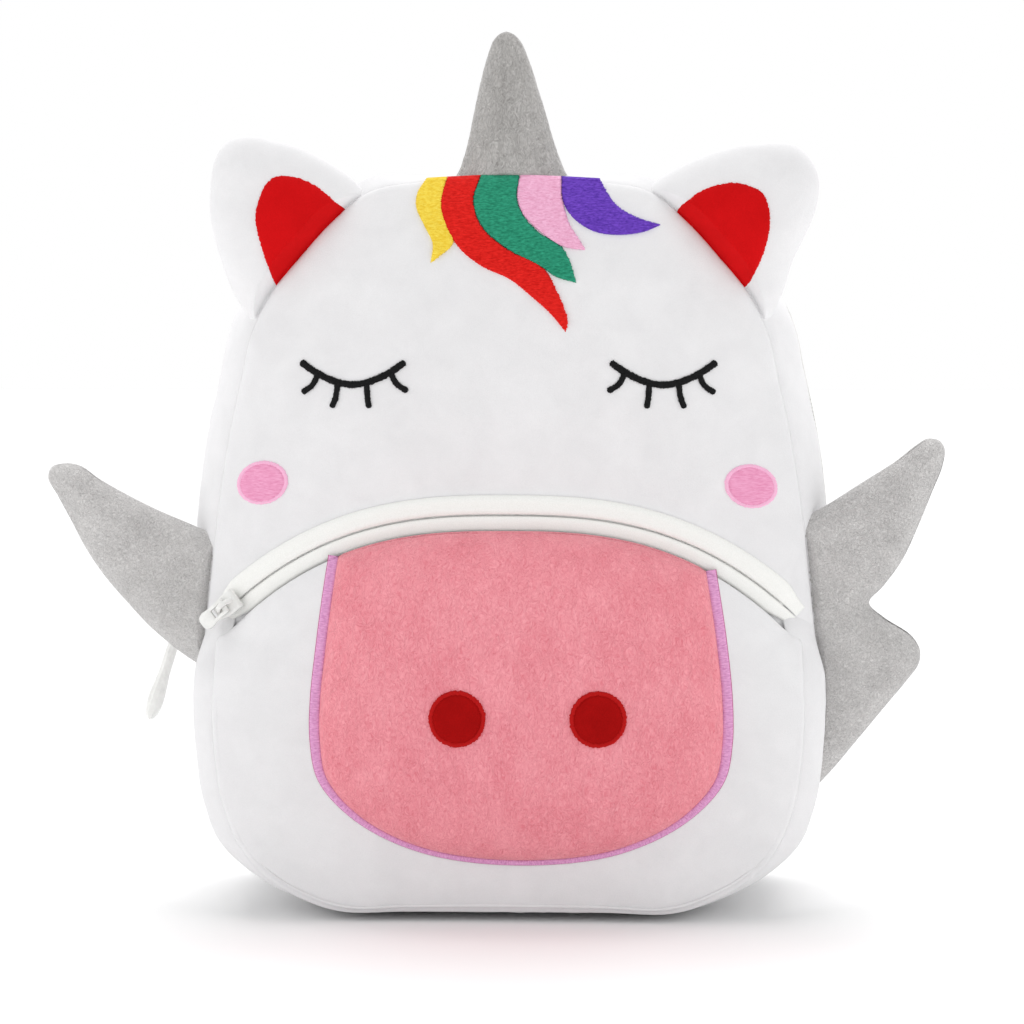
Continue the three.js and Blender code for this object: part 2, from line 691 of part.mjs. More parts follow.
// prettier-ignore
const EARS = {
  left: {
    outer: [
      [0.054, 0.748], [0.223, 0.855], [0.381, 0.927], [0.563, 0.973], [0.768, 1.003], [0.877, 0.969],
      [0.95, 0.88], [0.986, 0.651], [0.972, 0.518], [0.918, 0.345], [0.823, 0.137], [0.7, 0.0],
      [0.54, -0.04], [-0.08, 0.55],
    ],
    inner: [
      [0.54, 0.194], [0.602, 0.301], [0.679, 0.546], [0.661, 0.648], [0.612, 0.74], [0.553, 0.781],
      [0.444, 0.781], [0.323, 0.745], [0.179, 0.648], [0.105, 0.578],
    ],
  },
  right: {
    outer: [
      [-0.02, 0.73], [0.189, 0.846], [0.43, 0.927], [0.589, 0.954], [0.828, 0.958], [0.909, 0.934],
      [0.981, 0.873], [1.032, 0.765], [1.023, 0.642], [0.968, 0.506], [0.872, 0.336], [0.802, 0.15],
      [0.7, 0.0], [0.54, -0.04], [-0.08, 0.55],
    ],
    inner: [
      [0.549, 0.187], [0.644, 0.294], [0.714, 0.47], [0.721, 0.572], [0.705, 0.639], [0.674, 0.691],
      [0.586, 0.731], [0.467, 0.746], [0.307, 0.71], [0.228, 0.667], [0.137, 0.576],
    ],
  },
};

function ear(side, { outer, inner }, hull) {
  const place = ([across, up]) => [side * (EAR_ROOT.x + across * EAR_WIDTH), EAR_ROOT.z + up * EAR_HEIGHT];
  const edge = curveThrough(outer.map(place), 26, true);
  const redEdge = curveThrough(inner.map(place), 18, true);
  const spot = (across, up) => {
    const [x, z] = place([across, up]);
    return { x, z };
  };
  const stuffed = cushion(edge, spot(0.56, 0.5), EAR_Y, EAR_THICKNESS);
  const red = pad(redEdge, spot(0.44, 0.5), stuffed.front, EAR_INNER_THICKNESS, 0, [0, 0.55, 1]);
  return { outer: trimmed(stuffed.solid, hull), inner: trimmed(red, hull) };
}

// Horn: half width and height as shares, from its foot to its tip
const HORN = [
  { up: 0, across: 1 },
  { up: 0.115, across: 0.95 },
  { up: 0.2, across: 0.85 },
  { up: 0.33, across: 0.75 },
  { up: 0.57, across: 0.58 },
  { up: 0.82, across: 0.37 },
  { up: 0.94, across: 0.23 },
  { up: 0.985, across: 0.11 },
];
const HORN_SIDES = 14;

function horn(hull, maneHull) {
  const foot = BAG_HEIGHT - TOP_DROP / 2;
  const height = HORN_HEIGHT + TOP_DROP / 2;
  const rows = steps(HORN_SIDES)
    .slice(0, -1)
    .map((turn) => {
      const angle = 2 * Math.PI * turn;
      const ring = HORN.map(({ up, across }) =>
        point(
          Math.cos(angle) * across * HORN_HALF_WIDTH + HORN_LEAN * up + 1,
          HORN_Y + Math.sin(angle) * across * HORN_HALF_DEPTH,
          foot + up * height,
        ),
      );
      return [point(1, HORN_Y, foot), ...ring, point(HORN_LEAN + 1, HORN_Y, foot + height)];
    });
  return trimmed(skin(rows), hull, maneHull);
}

// Wings: outlines as [across, up], shares of a wing's reach outwards from its hidden root and of its height
// prettier-ignore
const LEFT_WING_EDGE = [
  [0, 0.575], [0.12, 0.648], [0.42, 0.771], [0.573, 0.842], [0.726, 0.923], [0.829, 0.989],
  [0.92, 1.0], [0.985, 0.979], [1.0, 0.925], [0.953, 0.846], [0.882, 0.722], [0.803, 0.579],
  [0.701, 0.437], [0.579, 0.304], [0.436, 0.164], [0.203, 0], [0.06, -0.05], [0, 0.16],
];
// prettier-ignore
const RIGHT_WING_EDGE = [
  [-0.035, 0.72], [0.08, 0.758], [0.263, 0.806], [0.463, 0.865], [0.682, 0.929], [0.816, 0.977],
  [0.888, 0.996], [0.963, 0.99], [0.996, 0.966], [0.981, 0.916], [0.923, 0.848], [0.835, 0.746],
  [0.733, 0.644], [0.616, 0.569], [0.528, 0.521], [0.618, 0.48], [0.796, 0.426], [0.851, 0.385],
  [0.844, 0.343], [0.77, 0.295], [0.623, 0.213], [0.475, 0.13], [0.246, 0.006], [0.105, -0.05],
  [-0.035, 0.03],
];

function wing(side, rows, { reach, height, foot }, middle, count, hulls) {
  const place = ([across, up]) => [side * (WING_ROOT + across * reach), foot + up * height];
  const [x, z] = place(middle);
  const edge = curveThrough(rows.map(place), count, true);
  return trimmed(cushion(edge, { x, z }, WING_Y, WING_THICKNESS).solid, ...hulls);
}

// Sliders and pullers, in their own frame: x along the zip towards the puller, y across it, z off the tape
const SLIDER = { length: 10, width: 8, thickness: 3.2 };
const BAIL = { halfLength: 3.6, height: 4.2, wall: 1.2, width: 1.8 };
const PIN_HEIGHT = 1.4; // of the puller's pin above the slider
const PIN_HALF = 0.8;
const WINDOW = { from: 0.9, to: 5.2, halfWidth: 1.6 };

function prism(shape, depth, bevel = 0) {
  const geometry = new THREE.ExtrudeGeometry(shape, {
    depth: depth - 2 * bevel,
    curveSegments: 3,
    bevelEnabled: bevel > 0,
    bevelSegments: 1,
    bevelThickness: bevel,
    bevelSize: bevel,
    bevelOffset: -bevel,
  });
  return geometry.translate(0, 0, bevel);
}

function sliderSolid() {
  const { length, width, thickness } = SLIDER;
  const plan = new THREE.Shape();
  plan.moveTo(-length / 2, -width / 2);
  plan.lineTo(0, -width / 2);
  plan.lineTo(length / 2, -width / 3);
  plan.lineTo(length / 2, width / 3);
  plan.lineTo(0, width / 2);
  plan.lineTo(-length / 2, width / 2);
  const body = solidOf(prism(plan, thickness, 0.5));
  const arch = new THREE.Shape();
  arch.absellipse(0, 0, BAIL.halfLength, BAIL.height, 0, Math.PI);
  arch.lineTo(-BAIL.halfLength, -1);
  arch.lineTo(-BAIL.halfLength + BAIL.wall, -1);
  arch.absellipse(0, 0, BAIL.halfLength - BAIL.wall, BAIL.height - BAIL.wall, Math.PI, 0, true);
  arch.lineTo(BAIL.halfLength - BAIL.wall, -1);
  arch.lineTo(BAIL.halfLength, -1);
  const bail = prism(arch, BAIL.width).translate(0, 0, -BAIL.width / 2).rotateX(Math.PI / 2);
  return body.add(solidOf(bail.translate(0, 0, thickness)));
}

// A puller's half outline as [distance from its pin, a share of its length; half width]
const MAIN_PULLER = [[0, 2.9], [0.12, 2.9], [0.2, 2.6], [0.3, 2.2]];
const POCKET_PULLER = [[0, 2.9], [0.5, 2.9], [0.8, 3.2], [0.95, 2.4], [1, 1.2]];
const PULLER_THICKNESS = 1.6;

// The main puller's moulded grip, in the same columns: a stem that swells into a drop
// prettier-ignore
const MAIN_GRIP = [
  [0.16, 0], [0.2, 1.7], [0.3, 2.5], [0.55, 2.5], [0.7, 3.4], [0.85, 3.7], [0.96, 2.5], [1, 0],
];
const GRIP_FLATNESS = 0.84; // its thickness as a share of its width

// A moulded tab about its pin, which is the frame's origin.
function pullerSolid(length, rows) {
  const side = rows.map(([x, y]) => point(x * length, y, 0));
  const half = new THREE.CatmullRomCurve3(side, false, "centripetal").getPoints(18);
  const plan = new THREE.Shape();
  plan.moveTo(-PIN_HALF, -rows[0][1]);
  half.forEach((p) => plan.lineTo(p.x, -p.y));
  half.reverse().forEach((p) => plan.lineTo(p.x, p.y));
  plan.lineTo(-PIN_HALF, rows[0][1]);
  const window = new THREE.Path();
  window.moveTo(WINDOW.from, -WINDOW.halfWidth);
  window.lineTo(WINDOW.from, WINDOW.halfWidth);
  window.lineTo(WINDOW.to, WINDOW.halfWidth);
  window.lineTo(WINDOW.to, -WINDOW.halfWidth);
  plan.holes.push(window);
  return prism(plan, PULLER_THICKNESS).translate(0, 0, -PULLER_THICKNESS / 2);
}

function gripSolid(length, rows) {
  const side = rows.map(([x, radius]) => point(radius, x * length, 0));
  const profile = new THREE.CatmullRomCurve3(side, false, "centripetal").getPoints(11);
  const turned = profile.map((p) => new THREE.Vector2(Math.max(0, p.x), p.y));
  const drop = new THREE.LatheGeometry(turned, 10);
  return solidOf(drop.scale(1, 1, GRIP_FLATNESS).rotateZ(-Math.PI / 2));
}

// Straps

const acrossRun = (run) => point(1, 0, 0).addScaledVector(run, -run.x).normalize();

// A band along a path in space, flat across the path's whole run, thickest along its middle.
function band(path, width, thickness, edgeThickness) {
  const over = acrossRun(path.at(-1).clone().sub(path[0]).normalize());
  const across = steps(thickness > edgeThickness ? 4 : 1).map((t) => 2 * t - 1);
  const side = (sign) =>
    path.map((p, i) => {
      const before = path[Math.max(0, i - 1)];
      const after = path[Math.min(path.length - 1, i + 1)];
      const along = after.clone().sub(before).normalize();
      const off = along.clone().cross(over).normalize();
      return across.map((a) => {
        const half = mix(edgeThickness, thickness, Math.sqrt(1 - a * a)) / 2;
        return p.clone().addScaledVector(over, (a * width) / 2).addScaledVector(off, sign * half);
      });
    });
  return shell(side(-1), side(1));
}

// A strap's run from its upper seam to its lower one: depth as a share of its reach, height and place
// across as shares of the bag's
const STRAP_RUN = [
  { off: -0.2, up: 0.855, across: 0.31 },
  { off: 0.16, up: 0.864, across: 0.31 },
  { off: 0.55, up: 0.825, across: 0.32 },
  { off: 0.88, up: 0.72, across: 0.345 },
  { off: 1, up: 0.58, across: 0.38 },
  { off: 0.94, up: 0.42, across: 0.42 },
  { off: 0.8, up: 0.31, across: 0.455 },
];
const WEBBING_RUN = [
  { off: 0.8, up: 0.31, across: 0.455 },
  { off: 0.6, up: 0.22, across: 0.49 },
  { off: 0.36, up: 0.145, across: 0.53 },
  { off: 0.1, up: 0.092, across: 0.56 },
  { off: -0.2, up: 0.06, across: 0.58 },
];

function strapCurve(run, side) {
  const places = run.map(({ off, up, across }) =>
    point(side * across * BAG_HALF_WIDTH, BACK_Y + BACK_DOME / 2 + off * STRAP_REACH, up * BAG_HEIGHT),
  );
  return new THREE.CatmullRomCurve3(places, false, "centripetal");
}

const WEAVE_CLEARANCE = 1.6; // between the webbing and the buckle's bars
const BUCKLE_PLACE = 0.24; // share of the webbing's run

// The webbing runs down from the strap's end, over the buckle's middle bar and into the base seam.
function webbing(side, hull) {
  const curve = strapCurve(WEBBING_RUN, side);
  const length = curve.getLength();
  const lift = (BUCKLE_THICKNESS + WEBBING_THICKNESS) / 2 + WEAVE_CLEARANCE;
  const count = 36;
  const start = (3 * SEAM_GAP) / length;
  const path = steps(count).map((t) => {
    const u = mix(start, 1, t);
    const place = curve.getPointAt(u);
    const along = curve.getTangentAt(u);
    const off = along.clone().cross(point(1, 0, 0)).normalize();
    const fromBuckle = (u - BUCKLE_PLACE) * length;
    const woven = Math.abs(fromBuckle) < 1.5 * BUCKLE_PITCH;
    return place.addScaledVector(off, woven ? -lift * Math.cos((Math.PI * fromBuckle) / BUCKLE_PITCH) : 0);
  });
  return trimmed(band(path, WEBBING_WIDTH, WEBBING_THICKNESS, WEBBING_THICKNESS), hull);
}

function buckleGeometry() {
  const [width, length] = [WEBBING_WIDTH + 2 * BUCKLE_BAR + 1.6, 2 * BUCKLE_PITCH + BUCKLE_BAR];
  const plan = new THREE.Shape();
  plan.moveTo(-width / 2, -length / 2);
  plan.lineTo(width / 2, -length / 2);
  plan.lineTo(width / 2, length / 2);
  plan.lineTo(-width / 2, length / 2);
  for (const side of [-1, 1]) {
    const [near, far] = [(side * BUCKLE_BAR) / 2, side * (BUCKLE_PITCH - BUCKLE_BAR / 2)];
    const slot = new THREE.Path();
    const half = width / 2 - BUCKLE_BAR;
    slot.moveTo(-half, near);
    slot.lineTo(half, near);
    slot.lineTo(half, far);
    slot.lineTo(-half, far);
    plan.holes.push(slot);
  }
  return prism(plan, BUCKLE_THICKNESS).translate(0, 0, -BUCKLE_THICKNESS / 2);
}

function grabLoop(hull) {
  const height = BAG_HEIGHT - TOP_DROP - LOOP_BAND / 2;
  const path = steps(16).map((t) => {
    const angle = mix(-0.12, 1.12, t) * Math.PI;
    const y = BACK_Y + LOOP_REACH * Math.sin(angle);
    return point(-LOOP_HALF_WIDTH * Math.cos(angle), y, height - LOOP_SAG * Math.sin(angle));
  });
  const half = LOOP_BAND / 2;
  const side = (sign) =>
    path.map((p, i) => {
      const before = path[Math.max(0, i - 1)];
      const after = path[Math.min(path.length - 1, i + 1)];
      const along = after.clone().sub(before).normalize();
      const off = along.clone().cross(point(0, 0, 1)).normalize();
      return [-half, half].map((z) =>
        p.clone().addScaledVector(off, (sign * LOOP_THICKNESS) / 2).add(point(0, 0, z)),
      );
    });
  return trimmed(shell(side(-1), side(1)), hull);
}

// The assembly

const COLOURS = {
  white: new THREE.MeshStandardMaterial({ color: 0xf0eff0, roughness: 0.95 }),
  cream: new THREE.MeshStandardMaterial({ color: 0xf1f1ee, roughness: 0.8 }),
  plastic: new THREE.MeshStandardMaterial({ color: 0xe9e9e4, roughness: 0.4 }),
  grey: new THREE.MeshStandardMaterial({ color: 0xc4c3c0, roughness: 1 }),
  red: new THREE.MeshStandardMaterial({ color: 0xc00a10, roughness: 0.9 }),
  pink: new THREE.MeshStandardMaterial({ color: 0xf29aa5, roughness: 0.95 }),
  lilac: new THREE.MeshStandardMaterial({ color: 0xe59ac8, roughness: 0.7 }),
  black: new THREE.MeshStandardMaterial({ color: 0x1a1a1a, roughness: 0.6 }),
  yellow: new THREE.MeshStandardMaterial({ color: 0xf7d23e, roughness: 0.7 }),
  scarlet: new THREE.MeshStandardMaterial({ color: 0xdd1f1b, roughness: 0.7 }),
  green: new THREE.MeshStandardMaterial({ color: 0x1f8f68, roughness: 0.7 }),
  purple: new THREE.MeshStandardMaterial({ color: 0x6838c0, roughness: 0.7 }),
};

const backpack = new THREE.Group();
backpack.name = "backpack";

function geometryOf(solid) {
  const mesh = solid.getMesh();
  const geometry = new THREE.BufferGeometry();
  geometry.setAttribute("position", new THREE.BufferAttribute(new Float32Array(mesh.vertProperties), 3));
  geometry.setIndex(new THREE.BufferAttribute(new Uint32Array(mesh.triVerts), 1));
  geometry.computeVertexNormals();
  return geometry;
}

function addPiece(name, shape, material, parent = backpack) {
  const piece = new THREE.Mesh(shape.isBufferGeometry ? shape : geometryOf(shape), material);
  piece.name = name;
  parent.add(piece);
  return piece;
}

const hull = bagHull(SEAM_GAP);
const earSeat = bagHull(2 * SEAM_GAP);
const sewnIn = [hull, pocketHull(SEAM_GAP), archHull(SEAM_GAP)]; // what the wings are sewn in beside

function addBag() {
  addPiece("face_panel", panelSolid(face, PANEL_WALL, 1), COLOURS.white);
  addPiece("back_panel", panelSolid(back, PANEL_WALL, -1), COLOURS.white);
  const [frontY, backY] = [FRONT_Y + SEAM_GAP, BACK_Y - SEAM_GAP];
  const lower = lowerStations(ZIP_END_HEIGHT);
  const upper = upperStations(ZIP_END_HEIGHT + SEAM_GAP);
  addPiece("gusset_bottom", gussetStrip(lower, frontY, backY, GUSSET_WALL, 0, 6), COLOURS.white);
  const slot = COIL_WIDTH / 2 + TAPE_WIDTH + 2 * SEAM_GAP;
  addPiece("gusset_front", gussetStrip(upper, frontY, ZIP_Y - slot, GUSSET_WALL, 0, 4), COLOURS.white);
  addPiece("gusset_back", gussetStrip(upper, ZIP_Y + slot, backY, GUSSET_WALL, 0, 4), COLOURS.white);
  const [inner, outer] = [COIL_WIDTH / 2 + SEAM_GAP, COIL_WIDTH / 2 + SEAM_GAP + TAPE_WIDTH];
  const tape = (from, to) => gussetStrip(upper, from, to, TAPE_THICKNESS, -TAPE_THICKNESS / 2, 1);
  addPiece("main_zip_front_tape", tape(ZIP_Y - outer, ZIP_Y - inner), COLOURS.cream);
  addPiece("main_zip_back_tape", tape(ZIP_Y + inner, ZIP_Y + outer), COLOURS.cream);
  const coil = gussetStrip(upper, ZIP_Y - COIL_WIDTH / 2, ZIP_Y + COIL_WIDTH / 2, COIL_THICKNESS, 0, 1);
  addPiece("main_zip_coil", coil, COLOURS.cream);
}

function addMainSlider() {
  const u = 1 - shareAtHeight(ZIP_END_HEIGHT + MAIN_SLIDER_RISE);
  const mount = new THREE.Group();
  mount.name = "main_zip_pull";
  const onCoil = (share) => gussetPoint(station(share), ZIP_Y, 0);
  const down = onCoil(u + NEAREST).sub(onCoil(u - NEAREST)).normalize();
  const off = point(0, 1, 0).cross(down);
  const across = off.clone().cross(down);
  mount.position.copy(onCoil(u)).addScaledVector(off, 1.5 * SEAM_GAP);
  mount.quaternion.setFromRotationMatrix(new THREE.Matrix4().makeBasis(down, across, off));
  backpack.add(mount);
  addPiece("main_zip_slider", sliderSolid(), COLOURS.plastic, mount);
  const tab = solidOf(pullerSolid(MAIN_PULLER_LENGTH, MAIN_PULLER));
  const grip = gripSolid(MAIN_PULLER_LENGTH, MAIN_GRIP);
  const puller = addPiece("main_zip_puller", tab.add(grip), COLOURS.plastic, mount);
  puller.position.z = SLIDER.thickness + PIN_HEIGHT;
  const fromDown = Math.atan2(down.x, -down.z); // lean of the gusset itself
  puller.rotation.y = -(THREE.MathUtils.degToRad(MAIN_PULLER_TILT) + fromDown);
}

function addPocket() {
  addPiece("pocket_panel", panelSolid(pocket, PANEL_WALL, 1), COLOURS.white);
  addPiece("pocket_gusset", pocketGusset(), COLOURS.white);
  const half = COIL_WIDTH / 2;
  const upper = archStrip(half + SEAM_GAP, half + SEAM_GAP + UPPER_TAPE, TAPE_THICKNESS);
  addPiece("pocket_zip_upper_tape", upper, COLOURS.cream);
  const lower = archStrip(-half - SEAM_GAP - LOWER_TAPE, -half - SEAM_GAP, TAPE_THICKNESS);
  addPiece("pocket_zip_lower_tape", lower, COLOURS.cream);
  addPiece("pocket_zip_coil", archStrip(-half, half, COIL_THICKNESS), COLOURS.cream);
}

function addPocketSlider() {
  const x = -ARCH_HALF_WIDTH + SLIDER.length / 2;
  const place = archPlace(x, 0);
  const before = archPlace(x - 1, 0);
  const above = archPlace(x, 1);
  const depthAt = (p) => face.depth(p.x, p.z);
  const along = point(before.x - place.x, depthAt(before) - depthAt(place), before.z - place.z).normalize();
  const up = point(above.x - place.x, depthAt(above) - depthAt(place), above.z - place.z).normalize();
  const off = along.clone().cross(up).normalize();
  if (off.y > 0) off.negate();
  const across = off.clone().cross(along);
  const mount = new THREE.Group();
  mount.name = "pocket_zip_pull";
  mount.position.set(place.x, depthAt(place), place.z).addScaledVector(off, LIFT + COIL_THICKNESS);
  mount.quaternion.setFromRotationMatrix(new THREE.Matrix4().makeBasis(along, across, off));
  backpack.add(mount);
  addPiece("pocket_zip_slider", sliderSolid(), COLOURS.plastic, mount);
  const tab = pullerSolid(POCKET_PULLER_LENGTH, POCKET_PULLER);
  const puller = addPiece("pocket_zip_puller", tab, COLOURS.plastic, mount);
  puller.position.z = SLIDER.thickness + PIN_HEIGHT;
}

function addMuzzle() {
  const stuffed = pad(muzzleEdge, MUZZLE_MIDDLE, pocket.depth, MUZZLE_EDGE, MUZZLE_RISE, RINGS);
  addPiece("muzzle", stuffed, COLOURS.pink);
  addPiece("muzzle_trim", muzzleTrim(), COLOURS.lilac);
  addPiece("nostril_left", nostril(-1), COLOURS.red);
  addPiece("nostril_right", nostril(1), COLOURS.red);
}

const MANE_COLOURS = {
  mane_yellow: COLOURS.yellow,
  mane_red: COLOURS.scarlet,
  mane_green: COLOURS.green,
  mane_pink: COLOURS.lilac,
  mane_purple: COLOURS.purple,
};

function addFace() {
  for (const [name, side] of Object.entries({ left: -1, right: 1 })) {
    addPiece("eye_" + name, eye(side), COLOURS.black);
    addPiece("cheek_" + name, cheek(side), COLOURS.lilac);
    const { outer, inner } = ear(side, EARS[name], earSeat);
    addPiece("ear_" + name, outer, COLOURS.white);
    addPiece("ear_inner_" + name, inner, COLOURS.red);
  }
  const { locks, hull: maneHull } = maneLocks();
  for (const [name, solid] of Object.entries(locks)) addPiece(name, solid, MANE_COLOURS[name]);
  addPiece("horn", horn(hull, maneHull), COLOURS.grey);
}

function addWings() {
  addPiece("wing_left", wing(-1, LEFT_WING_EDGE, LEFT_WING, [0.42, 0.42], 30, sewnIn), COLOURS.grey);
  addPiece("wing_right", wing(1, RIGHT_WING_EDGE, RIGHT_WING, [0.33, 0.53], 42, sewnIn), COLOURS.grey);
}

function addBack() {
  for (const [name, side] of Object.entries({ left: -1, right: 1 })) {
    const path = strapCurve(STRAP_RUN, side).getSpacedPoints(16);
    addPiece("strap_" + name, trimmed(band(path, STRAP_WIDTH, STRAP_THICKNESS, 2), hull), COLOURS.white);
    addPiece("webbing_" + name, webbing(side, hull), COLOURS.cream);
    const curve = strapCurve(WEBBING_RUN, side);
    const along = curve.getTangentAt(BUCKLE_PLACE);
    const run = curve.getPointAt(1).sub(curve.getPointAt(0)).normalize();
    const across = acrossRun(run);
    along.addScaledVector(across, -along.dot(across)).normalize();
    const buckle = addPiece("buckle_" + name, buckleGeometry(), COLOURS.plastic);
    buckle.position.copy(curve.getPointAt(BUCKLE_PLACE));
    buckle.quaternion.setFromRotationMatrix(
      new THREE.Matrix4().makeBasis(across, along, across.clone().cross(along)),
    );
  }
  addPiece("grab_loop", grabLoop(hull), COLOURS.cream);
}

addBag();
addMainSlider();
addPocket();
addPocketSlider();
addMuzzle();
addFace();
addWings();
addBack();

export default backpack;
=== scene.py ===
# A plush unicorn backpack: velour cloth, zips, embroidery, stuffed ears, horn, wings and muzzle, and its straps.
# Lengths in this file are millimetres, in the frame of the CAD part, until a piece's mesh is made in metres.
import math

import bmesh
import bpy
import numpy as np
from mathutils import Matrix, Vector, noise
from mathutils.bvhtree import BVHTree
from mathutils.kdtree import KDTree


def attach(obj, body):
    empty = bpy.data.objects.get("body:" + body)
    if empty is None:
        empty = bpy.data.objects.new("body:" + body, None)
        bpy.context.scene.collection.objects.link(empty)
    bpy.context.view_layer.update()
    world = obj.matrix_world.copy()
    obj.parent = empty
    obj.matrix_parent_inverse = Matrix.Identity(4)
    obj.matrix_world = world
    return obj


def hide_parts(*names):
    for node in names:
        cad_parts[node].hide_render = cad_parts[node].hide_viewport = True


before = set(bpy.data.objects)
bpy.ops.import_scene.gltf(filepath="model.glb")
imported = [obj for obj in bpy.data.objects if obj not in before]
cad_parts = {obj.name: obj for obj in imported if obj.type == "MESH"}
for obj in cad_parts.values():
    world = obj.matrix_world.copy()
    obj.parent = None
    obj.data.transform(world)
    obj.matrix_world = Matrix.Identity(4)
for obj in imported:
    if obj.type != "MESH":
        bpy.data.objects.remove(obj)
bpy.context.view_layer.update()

MM = 0.001

# Sizes of the bag, as its solids have them
BAG_HEIGHT, BAG_DEPTH, FRONT_Y, BACK_Y, ZIP_Y = 264, 71, -31, 40, 4.5
SIDE_BULGE, TOP_DROP, FACE_DOME, BACK_DOME = 11, 10, 17, 6
BAG_MIDDLE = (0, BAG_HEIGHT * 0.51)
ZIP_END_HEIGHT, TAPE_WIDTH, COIL_WIDTH = 96, 8, 3
ARCH_TOP, ARCH_END, ARCH_POWER, ARCH_REACH, ARCH_LENGTH = 144.2, 106, 2.7, 1.2, 240
POCKET_DEPTH, POCKET_CROWN, POCKET_INSET, POCKET_TAPER, POCKET_SWELL = 19, 14, 6, 28, 4.2
POCKET_SAG, POCKET_SETTLE, POCKET_FOOT, TOP_PUFF = 9, 3.2, 34, 7
POCKET_MIDDLE = (0, ARCH_TOP * 0.46)
MUZZLE_BOTTOM, MUZZLE_SHIFT, MUZZLE_RISE = 23, 5.2, 8
MUZZLE_MIDDLE = (MUZZLE_SHIFT, (MUZZLE_BOTTOM + ARCH_TOP) / 2)
SEAM_GAP = 0.3
PANEL_CLOTH, GUSSET_CLOTH = 2.0, 1.6
RIM_COUNT = 320


def mix(a, b, t):
    return a + (b - a) * t


def smooth(t):
    t = min(1, max(0, t))
    return t * t * (3 - 2 * t)


def dome(share):
    return max(0, 1 - min(1, max(0, share)) ** 3) ** 0.75


def lump(x, y, z, size, seed=0):
    """Soft random height from -1 to 1, with bumps of about a size."""
    return noise.noise(Vector((x / size + 17 * seed, y / size, z / size)))


# Curves and surfaces

def spline(points, closed=False, fineness=24):
    """Points close together on a smooth curve through the given ones."""
    p = np.asarray(points, float)
    if closed:
        p = np.vstack([p[-1:], p, p[:2]])
    else:
        p = np.vstack([2 * p[:1] - p[1:2], p, 2 * p[-1:] - p[-2:-1]])
    out = []
    for a, b, c, d in zip(p, p[1:], p[2:], p[3:]):
        t1 = np.linalg.norm(b - a) ** 0.5
        t2 = t1 + np.linalg.norm(c - b) ** 0.5
        t3 = t2 + np.linalg.norm(d - c) ** 0.5
        t = np.linspace(t1, t2, fineness, endpoint=False)[:, None]
        a1 = (t1 - t) / t1 * a + t / t1 * b
        a2 = (t2 - t) / (t2 - t1) * b + (t - t1) / (t2 - t1) * c
        a3 = (t3 - t) / (t3 - t2) * c + (t - t2) / (t3 - t2) * d
        b1 = (t2 - t) / t2 * a1 + t / t2 * a2
        b2 = (t3 - t) / (t3 - t1) * a2 + (t - t1) / (t3 - t1) * a3
        out.append((t2 - t) / (t2 - t1) * b1 + (t - t1) / (t2 - t1) * b2)
    if not closed:
        out.append(p[-2:-1])
    return np.vstack(out)


def spaced(curve, count, closed=False):
    """The same curve as evenly spaced points."""
    if closed:
        curve = np.vstack([curve, curve[:1]])
    run = np.concatenate([[0], np.cumsum(np.linalg.norm(np.diff(curve, axis=0), axis=1))])
    where = np.linspace(0, run[-1], count, endpoint=not closed)
    return np.column_stack([np.interp(where, run, curve[:, k]) for k in range(curve.shape[1])])


def run_of(curve):
    return float(np.sum(np.linalg.norm(np.diff(curve, axis=0), axis=1)))


def rim_of(node, middle):
    """The outermost points of a domed CAD panel, in turn round its middle."""
    around = []
    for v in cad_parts[node].data.vertices:
        p = v.co / MM
        dx, dz = p.x - middle[0], p.z - middle[1]
        if math.hypot(dx, dz) > 1:
            around.append((math.atan2(dz, dx), math.hypot(dx, dz), p))
    around.sort(key=lambda one: one[0])
    rim, group = [], [around[0]]
    for one in around[1:]:
        if one[0] - group[-1][0] > 0.002:
            rim.append(max(group, key=lambda o: o[1])[2])
            group = []
        group.append(one)
    rim.append(max(group, key=lambda o: o[1])[2])
    return rim


class Panel:
    """A panel of cloth that bulges from its rim to a crown over its middle."""

    def __init__(self, rim, middle, crown):
        self.rim, self.middle, self.crown = rim, middle, crown
        angles = np.arctan2(rim[:, 2] - middle[1], rim[:, 0] - middle[0])
        order = np.argsort(angles)
        self.angles = angles[order]
        self.reach = np.hypot(rim[:, 0] - middle[0], rim[:, 2] - middle[1])[order]
        self.rim_y = rim[order, 1]

    def share(self, x, z):
        dx, dz = x - self.middle[0], z - self.middle[1]
        turn = math.atan2(dz, dx)
        return math.hypot(dx, dz) / np.interp(turn, self.angles, self.reach, period=2 * math.pi)

    def beyond(self, x, z):
        """How far outside the rim a place is, in line with the middle."""
        dx, dz = x - self.middle[0], z - self.middle[1]
        return math.hypot(dx, dz) - np.interp(math.atan2(dz, dx), self.angles, self.reach, period=2 * math.pi)

    def depth(self, x, z):
        turn = math.atan2(z - self.middle[1], x - self.middle[0])
        edge = np.interp(turn, self.angles, self.rim_y, period=2 * math.pi)
        return mix(edge, self.crown, dome(self.share(x, z)))


